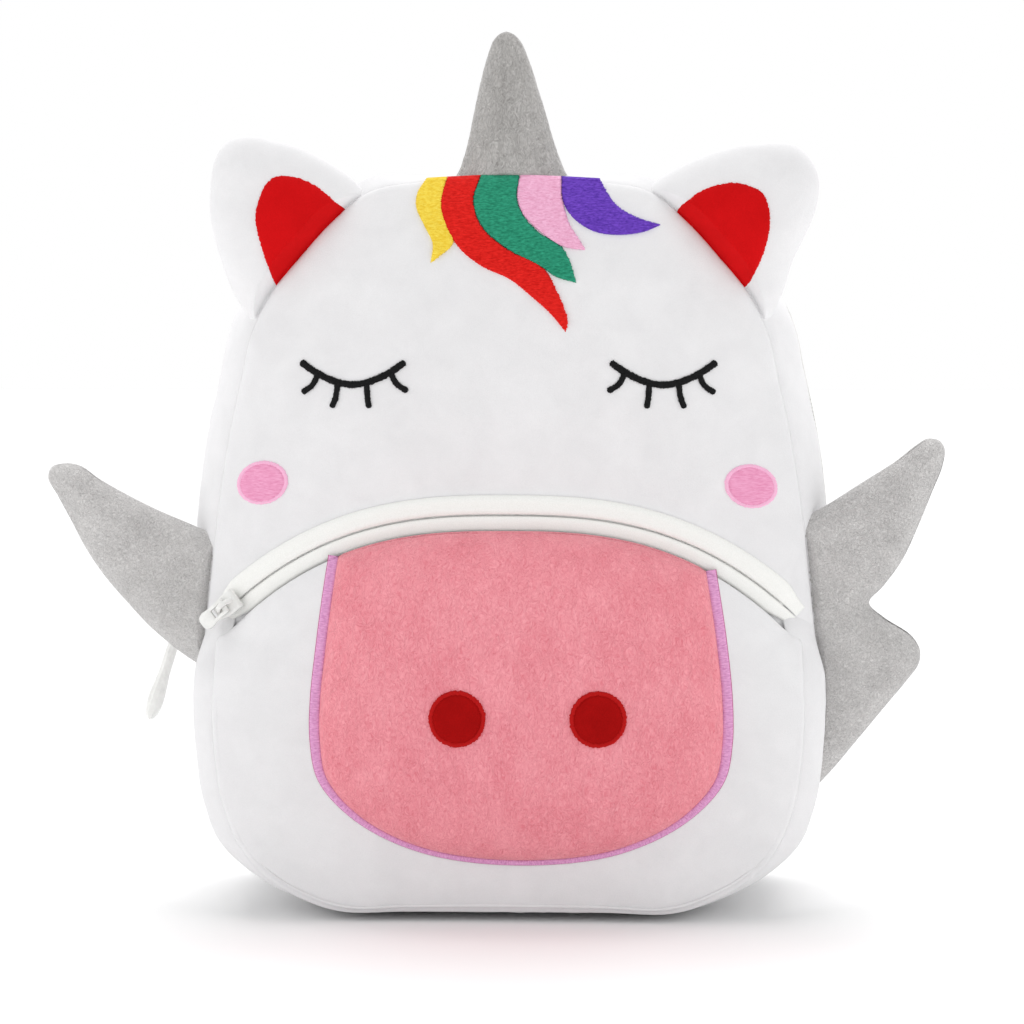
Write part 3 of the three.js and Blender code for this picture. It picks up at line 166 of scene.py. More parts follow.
class Outline:
    """The bag's outline at its front seam, by the length along it from the bottom middle up the right side."""

    def __init__(self, rim):
        curve = spaced(spline([(p.x, p.z) for p in rim], True), 2000, True)
        start = int(np.argmin(np.abs(curve[:, 0]) + np.where(curve[:, 1] > 50, 1000, 0)))
        curve = np.roll(curve, -start, axis=0)
        if curve[5, 0] < curve[0, 0]:
            curve = np.roll(curve[::-1], 1, axis=0)
        along = np.roll(curve, -1, axis=0) - np.roll(curve, 1, axis=0)
        along /= np.linalg.norm(along, axis=1)[:, None]
        self.length = float(np.sum(np.linalg.norm(np.diff(curve, axis=0, append=curve[:1]), axis=1)))
        self.where = np.linspace(0, self.length, len(curve), endpoint=False)
        self.columns = [curve[:, 0], np.maximum(0, curve[:, 1]), along[:, 1], -along[:, 0]]

    def at(self, length):
        return [float(np.interp(length, self.where, c, period=self.length)) for c in self.columns]

    def length_at(self, height):
        half = len(self.where) // 2
        return float(self.where[int(np.argmax(self.columns[1][:half] >= height))])


# Meshes

def grid(rows):
    """A sheet of faces whose corners are moved to rows of points; ends that meet are joined."""
    bm = bmesh.new()
    bm.loops.layers.uv.new("UVMap")
    width = len(rows[0])
    bmesh.ops.create_grid(bm, x_segments=width - 1, y_segments=len(rows) - 1, size=0.5, calc_uvs=True)
    bm.verts.ensure_lookup_table()
    for i, row in enumerate(rows):
        for j, p in enumerate(row):
            bm.verts[i * width + j].co = Vector(p) * MM
    bmesh.ops.remove_doubles(bm, verts=bm.verts, dist=1e-6)
    return bm


def face_out(bm, inside):
    """Turns an open sheet so that it faces away from a point."""
    middle = Vector(inside) * MM
    bmesh.ops.recalc_face_normals(bm, faces=bm.faces)
    if sum(f.normal.dot(f.calc_center_median() - middle) * f.calc_area() for f in bm.faces) < 0:
        bmesh.ops.reverse_faces(bm, faces=bm.faces)
    return bm


def closed_up(bm):
    """Fills the open ends of a tube and turns its faces out."""
    bmesh.ops.holes_fill(bm, edges=[e for e in bm.edges if e.is_boundary], sides=0)
    bmesh.ops.recalc_face_normals(bm, faces=bm.faces)
    return bm


def joined(parts):
    whole = bmesh.new()
    for part in parts:
        mesh = bpy.data.meshes.new("part")
        part.to_mesh(mesh)
        part.free()
        whole.from_mesh(mesh)
        bpy.data.meshes.remove(mesh)
    return whole


def cad_copy(node):
    bm = bmesh.new()
    bm.from_mesh(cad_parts[node].data)
    bmesh.ops.remove_doubles(bm, verts=bm.verts, dist=2e-6)
    return bm


def make(name, bm, material, replaces=(), body="bag", wall=None, flat=False):
    """Makes a piece of the backpack, riding on a body, from its mesh in metres."""
    mesh = bpy.data.meshes.new(name)
    bm.to_mesh(mesh)
    bm.free()
    mesh.polygons.foreach_set("use_smooth", [not flat] * len(mesh.polygons))
    mesh.materials.append(material)
    piece = bpy.data.objects.new(name, mesh)
    bpy.context.scene.collection.objects.link(piece)
    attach(piece, body)
    if replaces:
        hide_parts(*replaces)
    if wall:
        solid = piece.modifiers.new("wall", "SOLIDIFY")
        solid.thickness = wall * MM
        solid.offset = -1
    return piece


def surface_of(bm, otherwise):
    """The front of a mesh as a depth at (x, z)."""
    tree = BVHTree.FromBMesh(bm)

    def depth(x, z):
        hit = tree.ray_cast(Vector((x, -300, z)) * MM, Vector((0, 1, 0)))[0]
        return hit.y / MM if hit else otherwise(x, z)

    return depth


# Materials

def fabric(name, shade, light, roughness=0.9, sheen=0.3):
    """A cloth between two colours, with its node tree to be completed."""
    m = bpy.data.materials.new(name)
    m.use_nodes = True
    shader = m.node_tree.nodes["Principled BSDF"]
    shader.inputs["Roughness"].default_value = roughness
    shader.inputs["Sheen Weight"].default_value = sheen
    shader.inputs["Sheen Roughness"].default_value = 0.4
    shader.inputs["Specular IOR Level"].default_value = 0.12
    ramp = m.node_tree.nodes.new("ShaderNodeValToRGB")
    ramp.name = "tone"
    ramp.color_ramp.elements[0].position, ramp.color_ramp.elements[1].position = 0.3, 0.7
    ramp.color_ramp.elements[0].color, ramp.color_ramp.elements[1].color = (*shade, 1), (*light, 1)
    m.node_tree.links.new(ramp.outputs["Color"], shader.inputs["Base Color"])
    return m


def placed(m, stretch=(1, 1, 1), kind="Object"):
    nodes = m.node_tree.nodes
    place, where = nodes.new("ShaderNodeMapping"), nodes.new("ShaderNodeTexCoord")
    place.inputs["Scale"].default_value = stretch
    m.node_tree.links.new(where.outputs[kind], place.inputs["Vector"])
    return place.outputs["Vector"]


def noise_height(m, vector, scale, detail=2.0, rough=0.6, distortion=0.0):
    n = m.node_tree.nodes.new("ShaderNodeTexNoise")
    n.inputs["Scale"].default_value = scale
    n.inputs["Detail"].default_value = detail
    n.inputs["Roughness"].default_value = rough
    n.inputs["Distortion"].default_value = distortion
    m.node_tree.links.new(vector, n.inputs["Vector"])
    return n.outputs["Fac"]


def blend_heights(m, a, b, share):
    n = m.node_tree.nodes.new("ShaderNodeMix")
    n.inputs["Factor"].default_value = share
    m.node_tree.links.new(a, n.inputs[2])
    m.node_tree.links.new(b, n.inputs[3])
    return n.outputs[0]


def raised(m, height, distance, strength=1.0):
    bump = m.node_tree.nodes.new("ShaderNodeBump")
    bump.inputs["Distance"].default_value = distance * MM
    bump.inputs["Strength"].default_value = strength
    m.node_tree.links.new(height, bump.inputs["Height"])
    m.node_tree.links.new(bump.outputs["Normal"], m.node_tree.nodes["Principled BSDF"].inputs["Normal"])


def toned(m, height):
    m.node_tree.links.new(height, m.node_tree.nodes["tone"].inputs["Fac"])
    return m


def velour(name, shade, light, pile=0.12, sheen=0.15):
    """Short smooth pile: fine grain and faint cloudy strokes where the nap lies differently."""
    m = fabric(name, shade, light, 0.95, sheen)
    vector = placed(m)
    fine = noise_height(m, vector, 2300, 2)
    strokes = noise_height(m, vector, 75, 3, 0.55, 0.4)
    toned(m, blend_heights(m, fine, strokes, 0.6))
    raised(m, fine, pile, 0.6)
    return m


def brushed(name, shade, light, grain, waves, height, stretch=(1, 1, 1), sheen=0.4):
    """Longer pile brushed this way and that, seen as short wavy strands: grain to a metre, bent by broad waves."""
    m = fabric(name, shade, light, 1.0, sheen)
    m.node_tree.nodes["Principled BSDF"].inputs["Sheen Roughness"].default_value = 0.3
    vector = placed(m, stretch)
    bend = m.node_tree.nodes.new("ShaderNodeTexNoise")
    bend.inputs["Scale"].default_value = waves
    bend.inputs["Detail"].default_value = 1
    m.node_tree.links.new(vector, bend.inputs["Vector"])
    shifted = m.node_tree.nodes.new("ShaderNodeVectorMath")
    shifted.operation = "MULTIPLY_ADD"
    shifted.inputs[1].default_value = (1.2 / waves, 1.2 / waves, 1.2 / waves)
    m.node_tree.links.new(bend.outputs["Color"], shifted.inputs[0])
    m.node_tree.links.new(vector, shifted.inputs[2])
    strands = noise_height(m, shifted.outputs["Vector"], grain, 2, 0.6, 0.8)
    cloudy = noise_height(m, vector, 90, 3)
    toned(m, blend_heights(m, strands, cloudy, 0.3))
    raised(m, strands, height, 0.9)
    return m


def thread(name, shade, light, stretch, kind="UV", roughness=0.6, height=0.18, scale=1.0, sheen=0.08):
    """Lines of thread that run along a piece, seen as fine strands."""
    m = fabric(name, shade, light, roughness, sheen)
    vector = placed(m, stretch, kind)
    strands = noise_height(m, vector, scale, 2, 0.6, 0.3)
    toned(m, strands)
    raised(m, strands, height, 1.0)
    return m


def weave(name, shade, light, scale, **finish):
    """Even fine threads that run no one way."""
    return thread(name, shade, light, (1, 1, 1), "Object", scale=scale, **finish)


def edged(m, axis, start, colour):
    """Gives a piece another colour from a share of its UV map onwards: a rim of closer stitches."""
    nodes, links = m.node_tree.nodes, m.node_tree.links
    where, parts = nodes.new("ShaderNodeTexCoord"), nodes.new("ShaderNodeSeparateXYZ")
    links.new(where.outputs["UV"], parts.inputs[0])
    past = nodes.new("ShaderNodeMapRange")
    past.inputs["From Min"].default_value, past.inputs["From Max"].default_value = start - 0.008, start + 0.008
    links.new(parts.outputs[axis], past.inputs["Value"])
    both = nodes.new("ShaderNodeMix")
    both.data_type = "RGBA"
    both.inputs[7].default_value = (*colour, 1)
    links.new(past.outputs["Result"], both.inputs["Factor"])
    links.new(nodes["tone"].outputs["Color"], both.inputs[6])
    links.new(both.outputs[2], nodes["Principled BSDF"].inputs["Base Color"])
    return m


def plastic(name, colour, cloud):
    m = fabric(name, colour, cloud, 0.32, 0)
    shader = m.node_tree.nodes["Principled BSDF"]
    shader.inputs["Specular IOR Level"].default_value = 0.5
    shader.inputs["Subsurface Weight"].default_value = 0.3
    shader.inputs["Subsurface Radius"].default_value = (0.002, 0.002, 0.002)
    vector = placed(m)
    cloudy = noise_height(m, vector, 350, 3)
    toned(m, cloudy)
    raised(m, cloudy, 0.04, 0.5)
    return m


WHITE = velour("white_velour", (0.775, 0.77, 0.78), (0.845, 0.84, 0.85))
CREAM = weave("zip_tape_weave", (0.88, 0.88, 0.85), (0.95, 0.95, 0.925), 2600, roughness=0.85, height=0.05)
PALE_PLASTIC = plastic("clear_white_plastic", (0.78, 0.78, 0.76), (0.88, 0.88, 0.86))
GREY = brushed("grey_terry", (0.38, 0.37, 0.365), (0.76, 0.745, 0.735),
               grain=1700, waves=600, height=0.5, sheen=0.7)
# The horn's terry is darker than the wings': partly its own tone, partly painted shade.
HORN_TERRY_WITH_PAINTED_SHADE = brushed("grey_terry_upright_with_painted_shade", (0.26, 0.25, 0.24), (0.60, 0.585, 0.57),
                    grain=1700, waves=330, height=0.5, stretch=(1, 1, 0.5), sheen=1.0)
PINK = brushed("pink_plush", (0.74, 0.19, 0.235), (0.98, 0.40, 0.45),
               grain=1500, waves=330, height=0.42, stretch=(1, 1, 0.6), sheen=0.35)
EAR_RED = velour("red_velour", (0.53, 0.002, 0.003), (0.66, 0.004, 0.006), pile=0.1, sheen=0.05)
NOSTRIL_RED = edged(velour("dark_red_plush", (0.30, 0.001, 0.001), (0.42, 0.003, 0.003), pile=0.1, sheen=0.04),
                    "Y", 0.7, (0.47, 0.008, 0.008))
TRIM = edged(thread("lilac_satin_border", (0.60, 0.24, 0.48), (0.86, 0.44, 0.72), (3, 620, 1)),
             "X", 0.77, (0.42, 0.045, 0.16))
CHEEK = edged(thread("pink_satin", (0.78, 0.27, 0.46), (0.92, 0.43, 0.64), (420, 420, 2600), "Object"),
              "Y", 0.7, (0.94, 0.50, 0.70))
BLACK = weave("black_thread", (0.002, 0.002, 0.002), (0.014, 0.014, 0.015), 2400, sheen=0)
LOCK_COLOURS = {
    "mane_yellow": ((0.84, 0.55, 0.025), (0.98, 0.78, 0.11)),
    "mane_red": ((0.58, 0.005, 0.003), (0.86, 0.02, 0.015)),
    "mane_green": ((0.01, 0.18, 0.10), (0.035, 0.37, 0.22)),
    "mane_pink": ((0.78, 0.34, 0.52), (0.96, 0.54, 0.74)),
    "mane_purple": ((0.08, 0.026, 0.34), (0.20, 0.075, 0.62)),
}
BACK_WEAVE = weave("back_cloth_weave", (0.52, 0.52, 0.53), (0.63, 0.63, 0.64), 1500, roughness=0.85, height=0.12)
STRAP_VELOUR = velour("strap_velour", (0.64, 0.635, 0.645), (0.72, 0.715, 0.725))
WEBBING = weave("webbing_weave", (0.64, 0.64, 0.625), (0.78, 0.78, 0.765), 1500, roughness=0.7, height=0.2)


# The bag


def even_rim(node, middle):
    return spaced(spline([tuple(p) for p in rim_of(node, middle)], True), RIM_COUNT, True)


outline = Outline(rim_of("face_panel", BAG_MIDDLE))
face = Panel(even_rim("face_panel", BAG_MIDDLE), BAG_MIDDLE, FRONT_Y - FACE_DOME)
back = Panel(even_rim("back_panel", BAG_MIDDLE), BAG_MIDDLE, BACK_Y + BACK_DOME)


def sag(z):
    """How far the pocket's full foot comes forward over the floor."""
    return POCKET_SAG * smooth((POCKET_FOOT - z) / POCKET_FOOT)


def settle(z):
    """How far the pocket's foot sinks towards the floor."""
    return POCKET_SETTLE * smooth((POCKET_FOOT - z) / POCKET_FOOT)


pocket_rim = even_rim("pocket_panel", POCKET_MIDDLE)
pocket_rim[:, 1] -= [sag(z) for z in pocket_rim[:, 2]]
pocket_rim[:, 2] -= [settle(z) for z in pocket_rim[:, 2]]
pocket = Panel(pocket_rim, POCKET_MIDDLE, FRONT_Y - POCKET_DEPTH - POCKET_CROWN)


def close_rows(count, power=1.5):
    """Shares from the middle to the edge, closer together at the edge."""
    return [1 - (1 - t) ** power for t in np.linspace(0, 1, count)]


TURN = {"at": [0.05, 0.1, 0.4, 1.0, 2.2, 4.0], "dip": [-3.2, -1.9, -1.1, -0.6, -0.2, 0]}


def edge_dip(distance):
    """How deep a cloth's face lies near the edge where it turns into its seam."""
    return float(np.interp(distance, TURN["at"], TURN["dip"]))


def spread(span, step):
    """Distances across a piece of cloth, closer together at its two turned edges."""
    edge = TURN["at"][:-1]
    middle = np.linspace(4, span - 4, max(2, round((span - 8) / step) + 1))
    return [*edge, *middle, *[span - d for d in reversed(edge)]]


def pucker(distance, x, z, seed, y=0.0):
    """Small gathers that run out from a place on a seam."""
    return 0.45 * math.exp(-distance / 7) * lump(x, y, z, 6.5, seed)


def domed_cloth(panel, rows, back_way, plump, seed):
    """A domed panel whose edge rolls into its seam; back_way is +1 where it faces the front."""
    rim = np.vstack([panel.rim, panel.rim[:1]])
    mx, mz = panel.middle
    sheet = []
    for t in np.linspace(0, 1, rows):
        share = 1 - (1 - t) ** 1.5
        row = []
        for x, y, z in rim:
            reach = math.hypot(x - mx, z - mz)
            from_edge = reach * (1 - share)
            keep = share * (1 + edge_dip(from_edge + 1.0) * 0.9 / reach)
            px, pz = mix(mx, x, keep), mix(mz, z, keep)
            fade = smooth(from_edge / 12)
            rise = fade * (plump * lump(px, 0, pz, 38, seed) + 0.22 * lump(px, 0, pz, 11, seed + 1))
            rise += pucker(from_edge, x, z, seed) * smooth(from_edge / 2)
            row.append((px, mix(y, panel.crown, dome(share)) - back_way * rise, max(pz, 0.0)))
        sheet.append(row)
    for inwards, behind in ((1.6, 0.2), (3.2, 0.26)):
        row = []
        for x, y, z in rim:
            reach = math.hypot(x - mx, z - mz)
            keep = 1 - (inwards + 0.6) / reach
            row.append((mix(mx, x, keep), y + back_way * behind, max(mix(mz, z, keep), 0.0)))
        sheet.append(row)
    return face_out(grid(sheet), (0, 4, 130) if panel is not pocket else (0, -30, 66))


face_mesh = domed_cloth(face, rows=52, back_way=1, plump=0.7, seed=1)
face_depth = surface_of(face_mesh, face.depth)
make("face_cloth", face_mesh, WHITE, ["face_panel"], wall=PANEL_CLOTH)
make("back_cloth", domed_cloth(back, rows=36, back_way=-1, plump=0.5, seed=5), BACK_WEAVE, ["back_panel"],
     wall=PANEL_CLOTH)
pocket_mesh = domed_cloth(pocket, rows=46, back_way=1, plump=0.6, seed=9)
pocket_depth = surface_of(pocket_mesh, pocket.depth)
make("pocket_cloth", pocket_mesh, WHITE, ["pocket_panel"], wall=PANEL_CLOTH)


def swell(x, z, v):
    """How far the gusset stands out from the straight line between its seams, at a share of its depth."""
    up = z / BAG_HEIGHT
    topness = smooth((up - 0.8) / 0.17)
    bulge = SIDE_BULGE * smooth(up / 0.64) * (1 - topness)
    puff = TOP_PUFF * topness * mix(0.5, 1, smooth((abs(x) - 25) / 25)) * math.sin(math.pi * min(1, v / 0.45))
    return bulge * (1 - abs(2 * v - 1) ** 2.5) - TOP_DROP * topness * v + puff


def gusset_point(length, y, offset):
    x, z, nx, nz = outline.at(length)
    out = swell(x, z, (y - FRONT_Y) / BAG_DEPTH) + offset
    return (x + nx * out, y, max(0.0, z + nz * out))


def gusset_cloth(start, end, front, rear, seed, step=2.6):
    span, depth = end - start, rear - front
    rows = []
    for across in spread(depth, step):
        row = []
        for along in spread(span, step):
            near = min(across, depth - across)
            dip = max(-3.2, edge_dip(near) + edge_dip(min(along, span - along)))
            fade = smooth(near / 9) * smooth(min(along, span - along) / 9)
            x, y, z = gusset_point(start + along, front + across, 0)
            rise = fade * (0.6 * lump(x, y, z, 30, seed) + 0.2 * lump(x, y, z, 10, seed))
            rise += pucker(near, x, z, seed, front if across < depth / 2 else rear) * smooth(near / 2)
            row.append(gusset_point(start + along, front + across, dip + rise))
        rows.append(row)
    return face_out(grid(rows), (0, 4, 120))


zip_foot = outline.length_at(ZIP_END_HEIGHT)
whole = outline.length
TAPE_EDGE = COIL_WIDTH / 2 + TAPE_WIDTH + 2 * SEAM_GAP - 1.4
make("gusset_bottom_cloth", gusset_cloth(whole - zip_foot, whole + zip_foot, FRONT_Y, BACK_Y, seed=21), WHITE,
     ["gusset_bottom"], wall=GUSSET_CLOTH)
make("gusset_front_cloth", gusset_cloth(zip_foot, whole - zip_foot, FRONT_Y, ZIP_Y - TAPE_EDGE, seed=23), WHITE,
     ["gusset_front"], wall=GUSSET_CLOTH)
make("gusset_back_cloth", gusset_cloth(zip_foot, whole - zip_foot, ZIP_Y + TAPE_EDGE, BACK_Y, seed=25), WHITE,
     ["gusset_back"], wall=GUSSET_CLOTH)


# The pocket's side and its zip

ARCH_HALF_WIDTH = outline.at(outline.length_at(ARCH_END))[0] - POCKET_INSET


def arch_height(x):
    return mix(ARCH_TOP, ARCH_END, min(ARCH_REACH, abs(x) / ARCH_HALF_WIDTH) ** ARCH_POWER)


def arch_place(x, offset=0.0):
    """A place on the arch of the pocket's zip, moved square to it, with the direction that is up there."""
    slope = arch_height(x + 0.5) - arch_height(x - 0.5)
    length = math.hypot(1, slope)
    up = (-slope / length, 1 / length)
    return x + up[0] * offset, arch_height(x) + up[1] * offset, up


def pocket_side_point(length, v, offset, closing=1.0):
    x, z, nx, nz = outline.at(length)
    inset = POCKET_INSET * (1 + 0.5 * smooth((z - 92) / 12))
    seam_x, seam_z = x - nx * inset, z - nz * inset
    on_face = face.depth(seam_x, seam_z) - 3 - 2 * SEAM_GAP - 1.2 * smooth((z - 96) / 8)
    seam_y = mix(on_face, FRONT_Y - POCKET_DEPTH, smooth((ARCH_END - seam_z) / POCKET_TAPER)) - sag(seam_z)
    full = smooth(z / (BAG_HEIGHT * 0.12)) * smooth((ARCH_END + 2 - z) / 24)
    moved = offset - inset * v + POCKET_SWELL * math.sin(math.pi * v) * full * closing - 1.5 * (1 - closing)
    y = mix(FRONT_Y + 1.5 * (1 - closing), seam_y, v * closing)
    return (x + nx * moved, y, max(0.0, z + nz * moved - settle(seam_z) * v))


def pocket_side():
    top = outline.length_at(ARCH_END + 13)
    span, width = 2 * top, POCKET_DEPTH
    rows = []
    for across in spread(width, 1.4):
        row = []
        for along in spread(span, 2.6):
            near = min(across, width - across)
            dip = max(-2.4, edge_dip(near))
            rise = smooth(near / 6) * 0.3 * lump(along, across, 0, 14, 31)
            rise += pucker(near, along, 0, 33) * smooth(near / 2)
            closing = smooth(min(along, span - along) / 19)
            row.append(pocket_side_point(whole - top + along, across / width, dip + rise, closing))
        rows.append(row)
    return face_out(grid(rows), (0, -40, 70))


make("pocket_side_cloth", pocket_side(), WHITE, ["pocket_gusset"], wall=GUSSET_CLOTH)


def laid(path, profile, depth):
    """A closed strip that lies on a surface. path is rows of (x, z, across); profile gives (offset, height) there."""
    rows = []
    for i, (x, z, (ax, az)) in enumerate(path):
        row = []
        for offset, height in profile(i / (len(path) - 1)):
            px, pz = x + ax * offset, z + az * offset
            row.append((px, depth(px, pz) - height, pz))
        rows.append([*row, row[0]])
    return closed_up(grid(rows))


def arch_path(count, reach=1.0):
    xs = np.linspace(-ARCH_HALF_WIDTH * reach, ARCH_HALF_WIDTH * reach, count)
    return [arch_place(x) for x in xs]


def along_arch(tops, foot=0.1):
    """A profile across the arch: its face as (offset, height) on a flat foot. It thins out at the side seams."""
    def profile(t):
        full = smooth(min(t, 1 - t) * ARCH_LENGTH / 10)
        shape = [(a * mix(0.65, 1, full), mix(foot + 0.15, h, mix(0.1, 1, full))) for a, h in tops]
        (first, _), (last, _) = shape[0], shape[-1]
        return [(first, foot), *shape, (last, foot), (mix(first, last, 0.5), foot)]
    return profile


zip_rows = arch_path(420, 0.99)
upper = along_arch([(1.5, 1.3), (0.3, 1.35), (0.35, 1.85), (1.1, 2.35), (2.2, 2.45), (3.2, 2.05), (3.8, 2.1),
                    (5.2, 1.85), (6.4, 1.25), (7.1, 0.4)])
lower = along_arch([(-1.5, 1.3), (-0.3, 1.35), (-0.35, 1.75), (-1.1, 2.15), (-2.2, 2.3), (-3.4, 2.25), (-4.6, 2.15),
                    (-5.9, 1.9)])
make("pocket_zip_upper_band", laid(zip_rows, upper, face_depth), CREAM, ["pocket_zip_upper_tape"])
make("pocket_zip_lower_band", laid(zip_rows, lower, face_depth), CREAM, ["pocket_zip_lower_tape"])


def teeth_profile(width, low, high, pitch, length):
    """A closed zip's two rows of teeth, each half a step on from the other."""
    def profile(t):
        turn = 2 * math.pi * t * length / pitch
        left, right = 0.5 + 0.5 * math.cos(turn), 0.5 - 0.5 * math.cos(turn)
        rise = [(-1, 0.6 * left), (-0.6, left), (-0.15, 0.45 + 0.4 * left),
                (0.15, 0.45 + 0.4 * right), (0.6, right), (1, 0.6 * right)]
        tops = [(width * across, mix(low, high, up)) for across, up in rise]
        return [(-width, 0.05), *tops, (width, 0.05)]
    return profile


pocket_teeth = teeth_profile(width=1.3, low=0.5, high=1.2, pitch=1.3, length=ARCH_LENGTH)
make("pocket_zip_teeth", laid(arch_path(1100, 0.945), pocket_teeth, face_depth), PALE_PLASTIC, ["pocket_zip_coil"])


# The main zip, over the top and down both sides

def along_gusset(start, end, count, profile):
    """A closed strip that follows the gusset; profile gives (depth, height off the gusset) there."""
    rows = []
    for i, length in enumerate(np.linspace(start, end, count)):
        row = [gusset_point(length, y, height) for y, height in profile(i / (count - 1))]
        rows.append([*row, row[0]])
    return closed_up(grid(rows))


def tape(side):
    inner, outer = COIL_WIDTH / 2, COIL_WIDTH / 2 + TAPE_WIDTH
    tops = [(inner, -0.9), (inner + 0.3, -0.55), (inner + 1.6, -0.5), (inner + 2.0, -0.62), (inner + 2.4, -0.5),
            (outer, -0.55)]
    shape = [(ZIP_Y + side * y, h) for y, h in [(inner, -1.3), *tops, (outer, -1.3)]]
    return along_gusset(zip_foot + 0.3, whole - zip_foot - 0.3, 330, lambda t: shape)


make("main_zip_front_band", tape(-1), CREAM, ["main_zip_front_tape"])
make("main_zip_back_band", tape(1), CREAM, ["main_zip_back_tape"])
zip_length = whole - 2 * zip_foot
teeth = teeth_profile(width=1.45, low=-0.9, high=0.15, pitch=1.5, length=zip_length)
make("main_zip_teeth",
     along_gusset(zip_foot + 0.4, whole - zip_foot - 0.4, 2200, lambda t: [(ZIP_Y + a, h) for a, h in teeth(t)]),
     PALE_PLASTIC, ["main_zip_coil"])


# Moulded pieces: the CAD shapes with their edges rounded

def rounded_copy(node, radius, segments=2, angle=30):
    bm = cad_copy(node)
    bmesh.ops.dissolve_limit(bm, angle_limit=math.radians(3), verts=bm.verts, edges=bm.edges)
    sharp = [e for e in bm.edges if len(e.link_faces) == 2 and e.calc_face_angle(0) > math.radians(angle)]
    bmesh.ops.bevel(bm, geom=sharp, offset=radius * MM, segments=segments, affect="EDGES", profile=0.5, material=-1,
                    clamp_overlap=True)
    bmesh.ops.recalc_face_normals(bm, faces=bm.faces)
    return bm


for node, body in (("main_zip_slider", "bag"), ("pocket_zip_slider", "bag"), ("buckle_left", "bag"),
                   ("buckle_right", "bag"), ("main_zip_puller", "main_puller"), ("pocket_zip_puller", "pocket_puller")):
    make(node + "_moulded", rounded_copy(node, radius=0.35), PALE_PLASTIC, [node], body=body)


# Stuffed pieces

def tucked(x, y, z, behind=1.0):
    """Sews a place into the front seam: behind the face's cloth within it, and easing forward outside it."""
    beyond = face.beyond(x, z)
    if beyond > 12:
        return y
    seam = face_depth(x, z) if beyond < -0.5 else FRONT_Y
    return max(y, seam + behind - 1.1 * max(0.0, beyond))


def cushion(edge, middle, plane, thickness, reach, pile, seed, count=360, rings=(34, 16)):
    """A flat stuffed form, sewn round its edge: as thick as its stuffing lets it be at each distance from the edge."""
    curve = spaced(spline(edge, True), count, True)
    tree = KDTree(count)
    for i, (x, z) in enumerate(curve):
        tree.insert((x, z, 0), i)
    tree.balance()
    loop = [*curve, curve[0]]
    layers = []
    for side, number in zip((-1, 1), rings):
        sheet = []
        for share in close_rows(number, 1.7):
            row = []
            from_pole = smooth(share / 0.12)
            for ex, ez in loop:
                x, z = mix(middle[0], ex, share), mix(middle[1], ez, share)
                near = tree.find((x, z, 0))[2] if share < 1 else 0.0
                full = 1 - (1 - min(1, near / reach)) ** 2.3
                soft = smooth(near / 5)
                rise = thickness / 2 * full ** 0.62 + 0.5 * soft * lump(x, side * 30, z, 17, seed)
                gather = 0.3 * math.exp(-near / 5) * smooth(near / 1.2) * lump(ex, side * 9, ez, 5, seed)
                rise += from_pole * (gather + pile * smooth(near / 1.5) * lump(x, side * 9, z, 0.95, seed))
                row.append((x, tucked(x, plane + side * rise, z), z))
            sheet.append(row)
        layers.append(sheet)
    return closed_up(grid([*layers[0], *reversed(layers[1])]))


EAR_ROOT, EAR_SIZE, EAR_THICKNESS, EAR_Y = (112 * 0.464, BAG_HEIGHT * 0.803), (57, 67), 17, -27
# Outlines as [across, up]: shares of an ear's width outwards from its inner root and of its height
EARS = {
    "left": (
        [(0.054, 0.748), (0.223, 0.855), (0.381, 0.927), (0.563, 0.973), (0.768, 1.003), (0.877, 0.969), (0.95, 0.88),
         (0.986, 0.651), (0.972, 0.518), (0.918, 0.345), (0.823, 0.137), (0.7, 0.0), (0.54, -0.04), (-0.08, 0.55)],
        [(0.54, 0.194), (0.602, 0.301), (0.679, 0.546), (0.661, 0.648), (0.612, 0.74), (0.553, 0.781), (0.444, 0.781),
         (0.323, 0.745), (0.179, 0.648), (0.105, 0.578)]),
    "right": (
        [(-0.02, 0.73), (0.189, 0.846), (0.43, 0.927), (0.589, 0.954), (0.828, 0.958), (0.909, 0.934), (0.981, 0.873),
         (1.032, 0.765), (1.023, 0.642), (0.968, 0.506), (0.872, 0.336), (0.802, 0.15), (0.7, 0.0), (0.54, -0.04),
         (-0.08, 0.55)],
        [(0.549, 0.187), (0.644, 0.294), (0.714, 0.47), (0.721, 0.572), (0.705, 0.639), (0.674, 0.691), (0.586, 0.731),
         (0.467, 0.746), (0.307, 0.71), (0.228, 0.667), (0.137, 0.576)]),
}
WING_THICKNESS, WING_Y, WING_ROOT = 15, -25, 100
# Outlines as [across, up]: shares of a wing's reach outwards from its hidden root and of its height
WINGS = {
    "left": (-1, {"reach": 68, "height": 73, "foot": 88}, (0.42, 0.42), [
        (0, 0.575), (0.12, 0.648), (0.42, 0.771), (0.573, 0.842), (0.726, 0.923), (0.829, 0.989), (0.92, 1.0),
        (0.985, 0.979), (1.0, 0.925), (0.953, 0.846), (0.882, 0.722), (0.803, 0.579), (0.701, 0.437), (0.579, 0.304),
        (0.436, 0.164), (0.203, 0), (0.06, -0.05), (0, 0.16)]),
    "right": (1, {"reach": 57, "height": 125, "foot": 46}, (0.33, 0.53), [
        (-0.035, 0.72), (0.08, 0.758), (0.263, 0.806), (0.463, 0.865), (0.682, 0.929), (0.816, 0.977), (0.888, 0.996),
        (0.963, 0.99), (0.996, 0.966), (0.981, 0.916), (0.923, 0.848), (0.835, 0.746), (0.733, 0.644), (0.616, 0.569),
        (0.528, 0.521), (0.618, 0.48), (0.796, 0.426), (0.851, 0.385), (0.844, 0.343), (0.77, 0.295), (0.623, 0.213),
        (0.475, 0.13), (0.246, 0.006), (0.105, -0.05), (-0.035, 0.03)]),
}


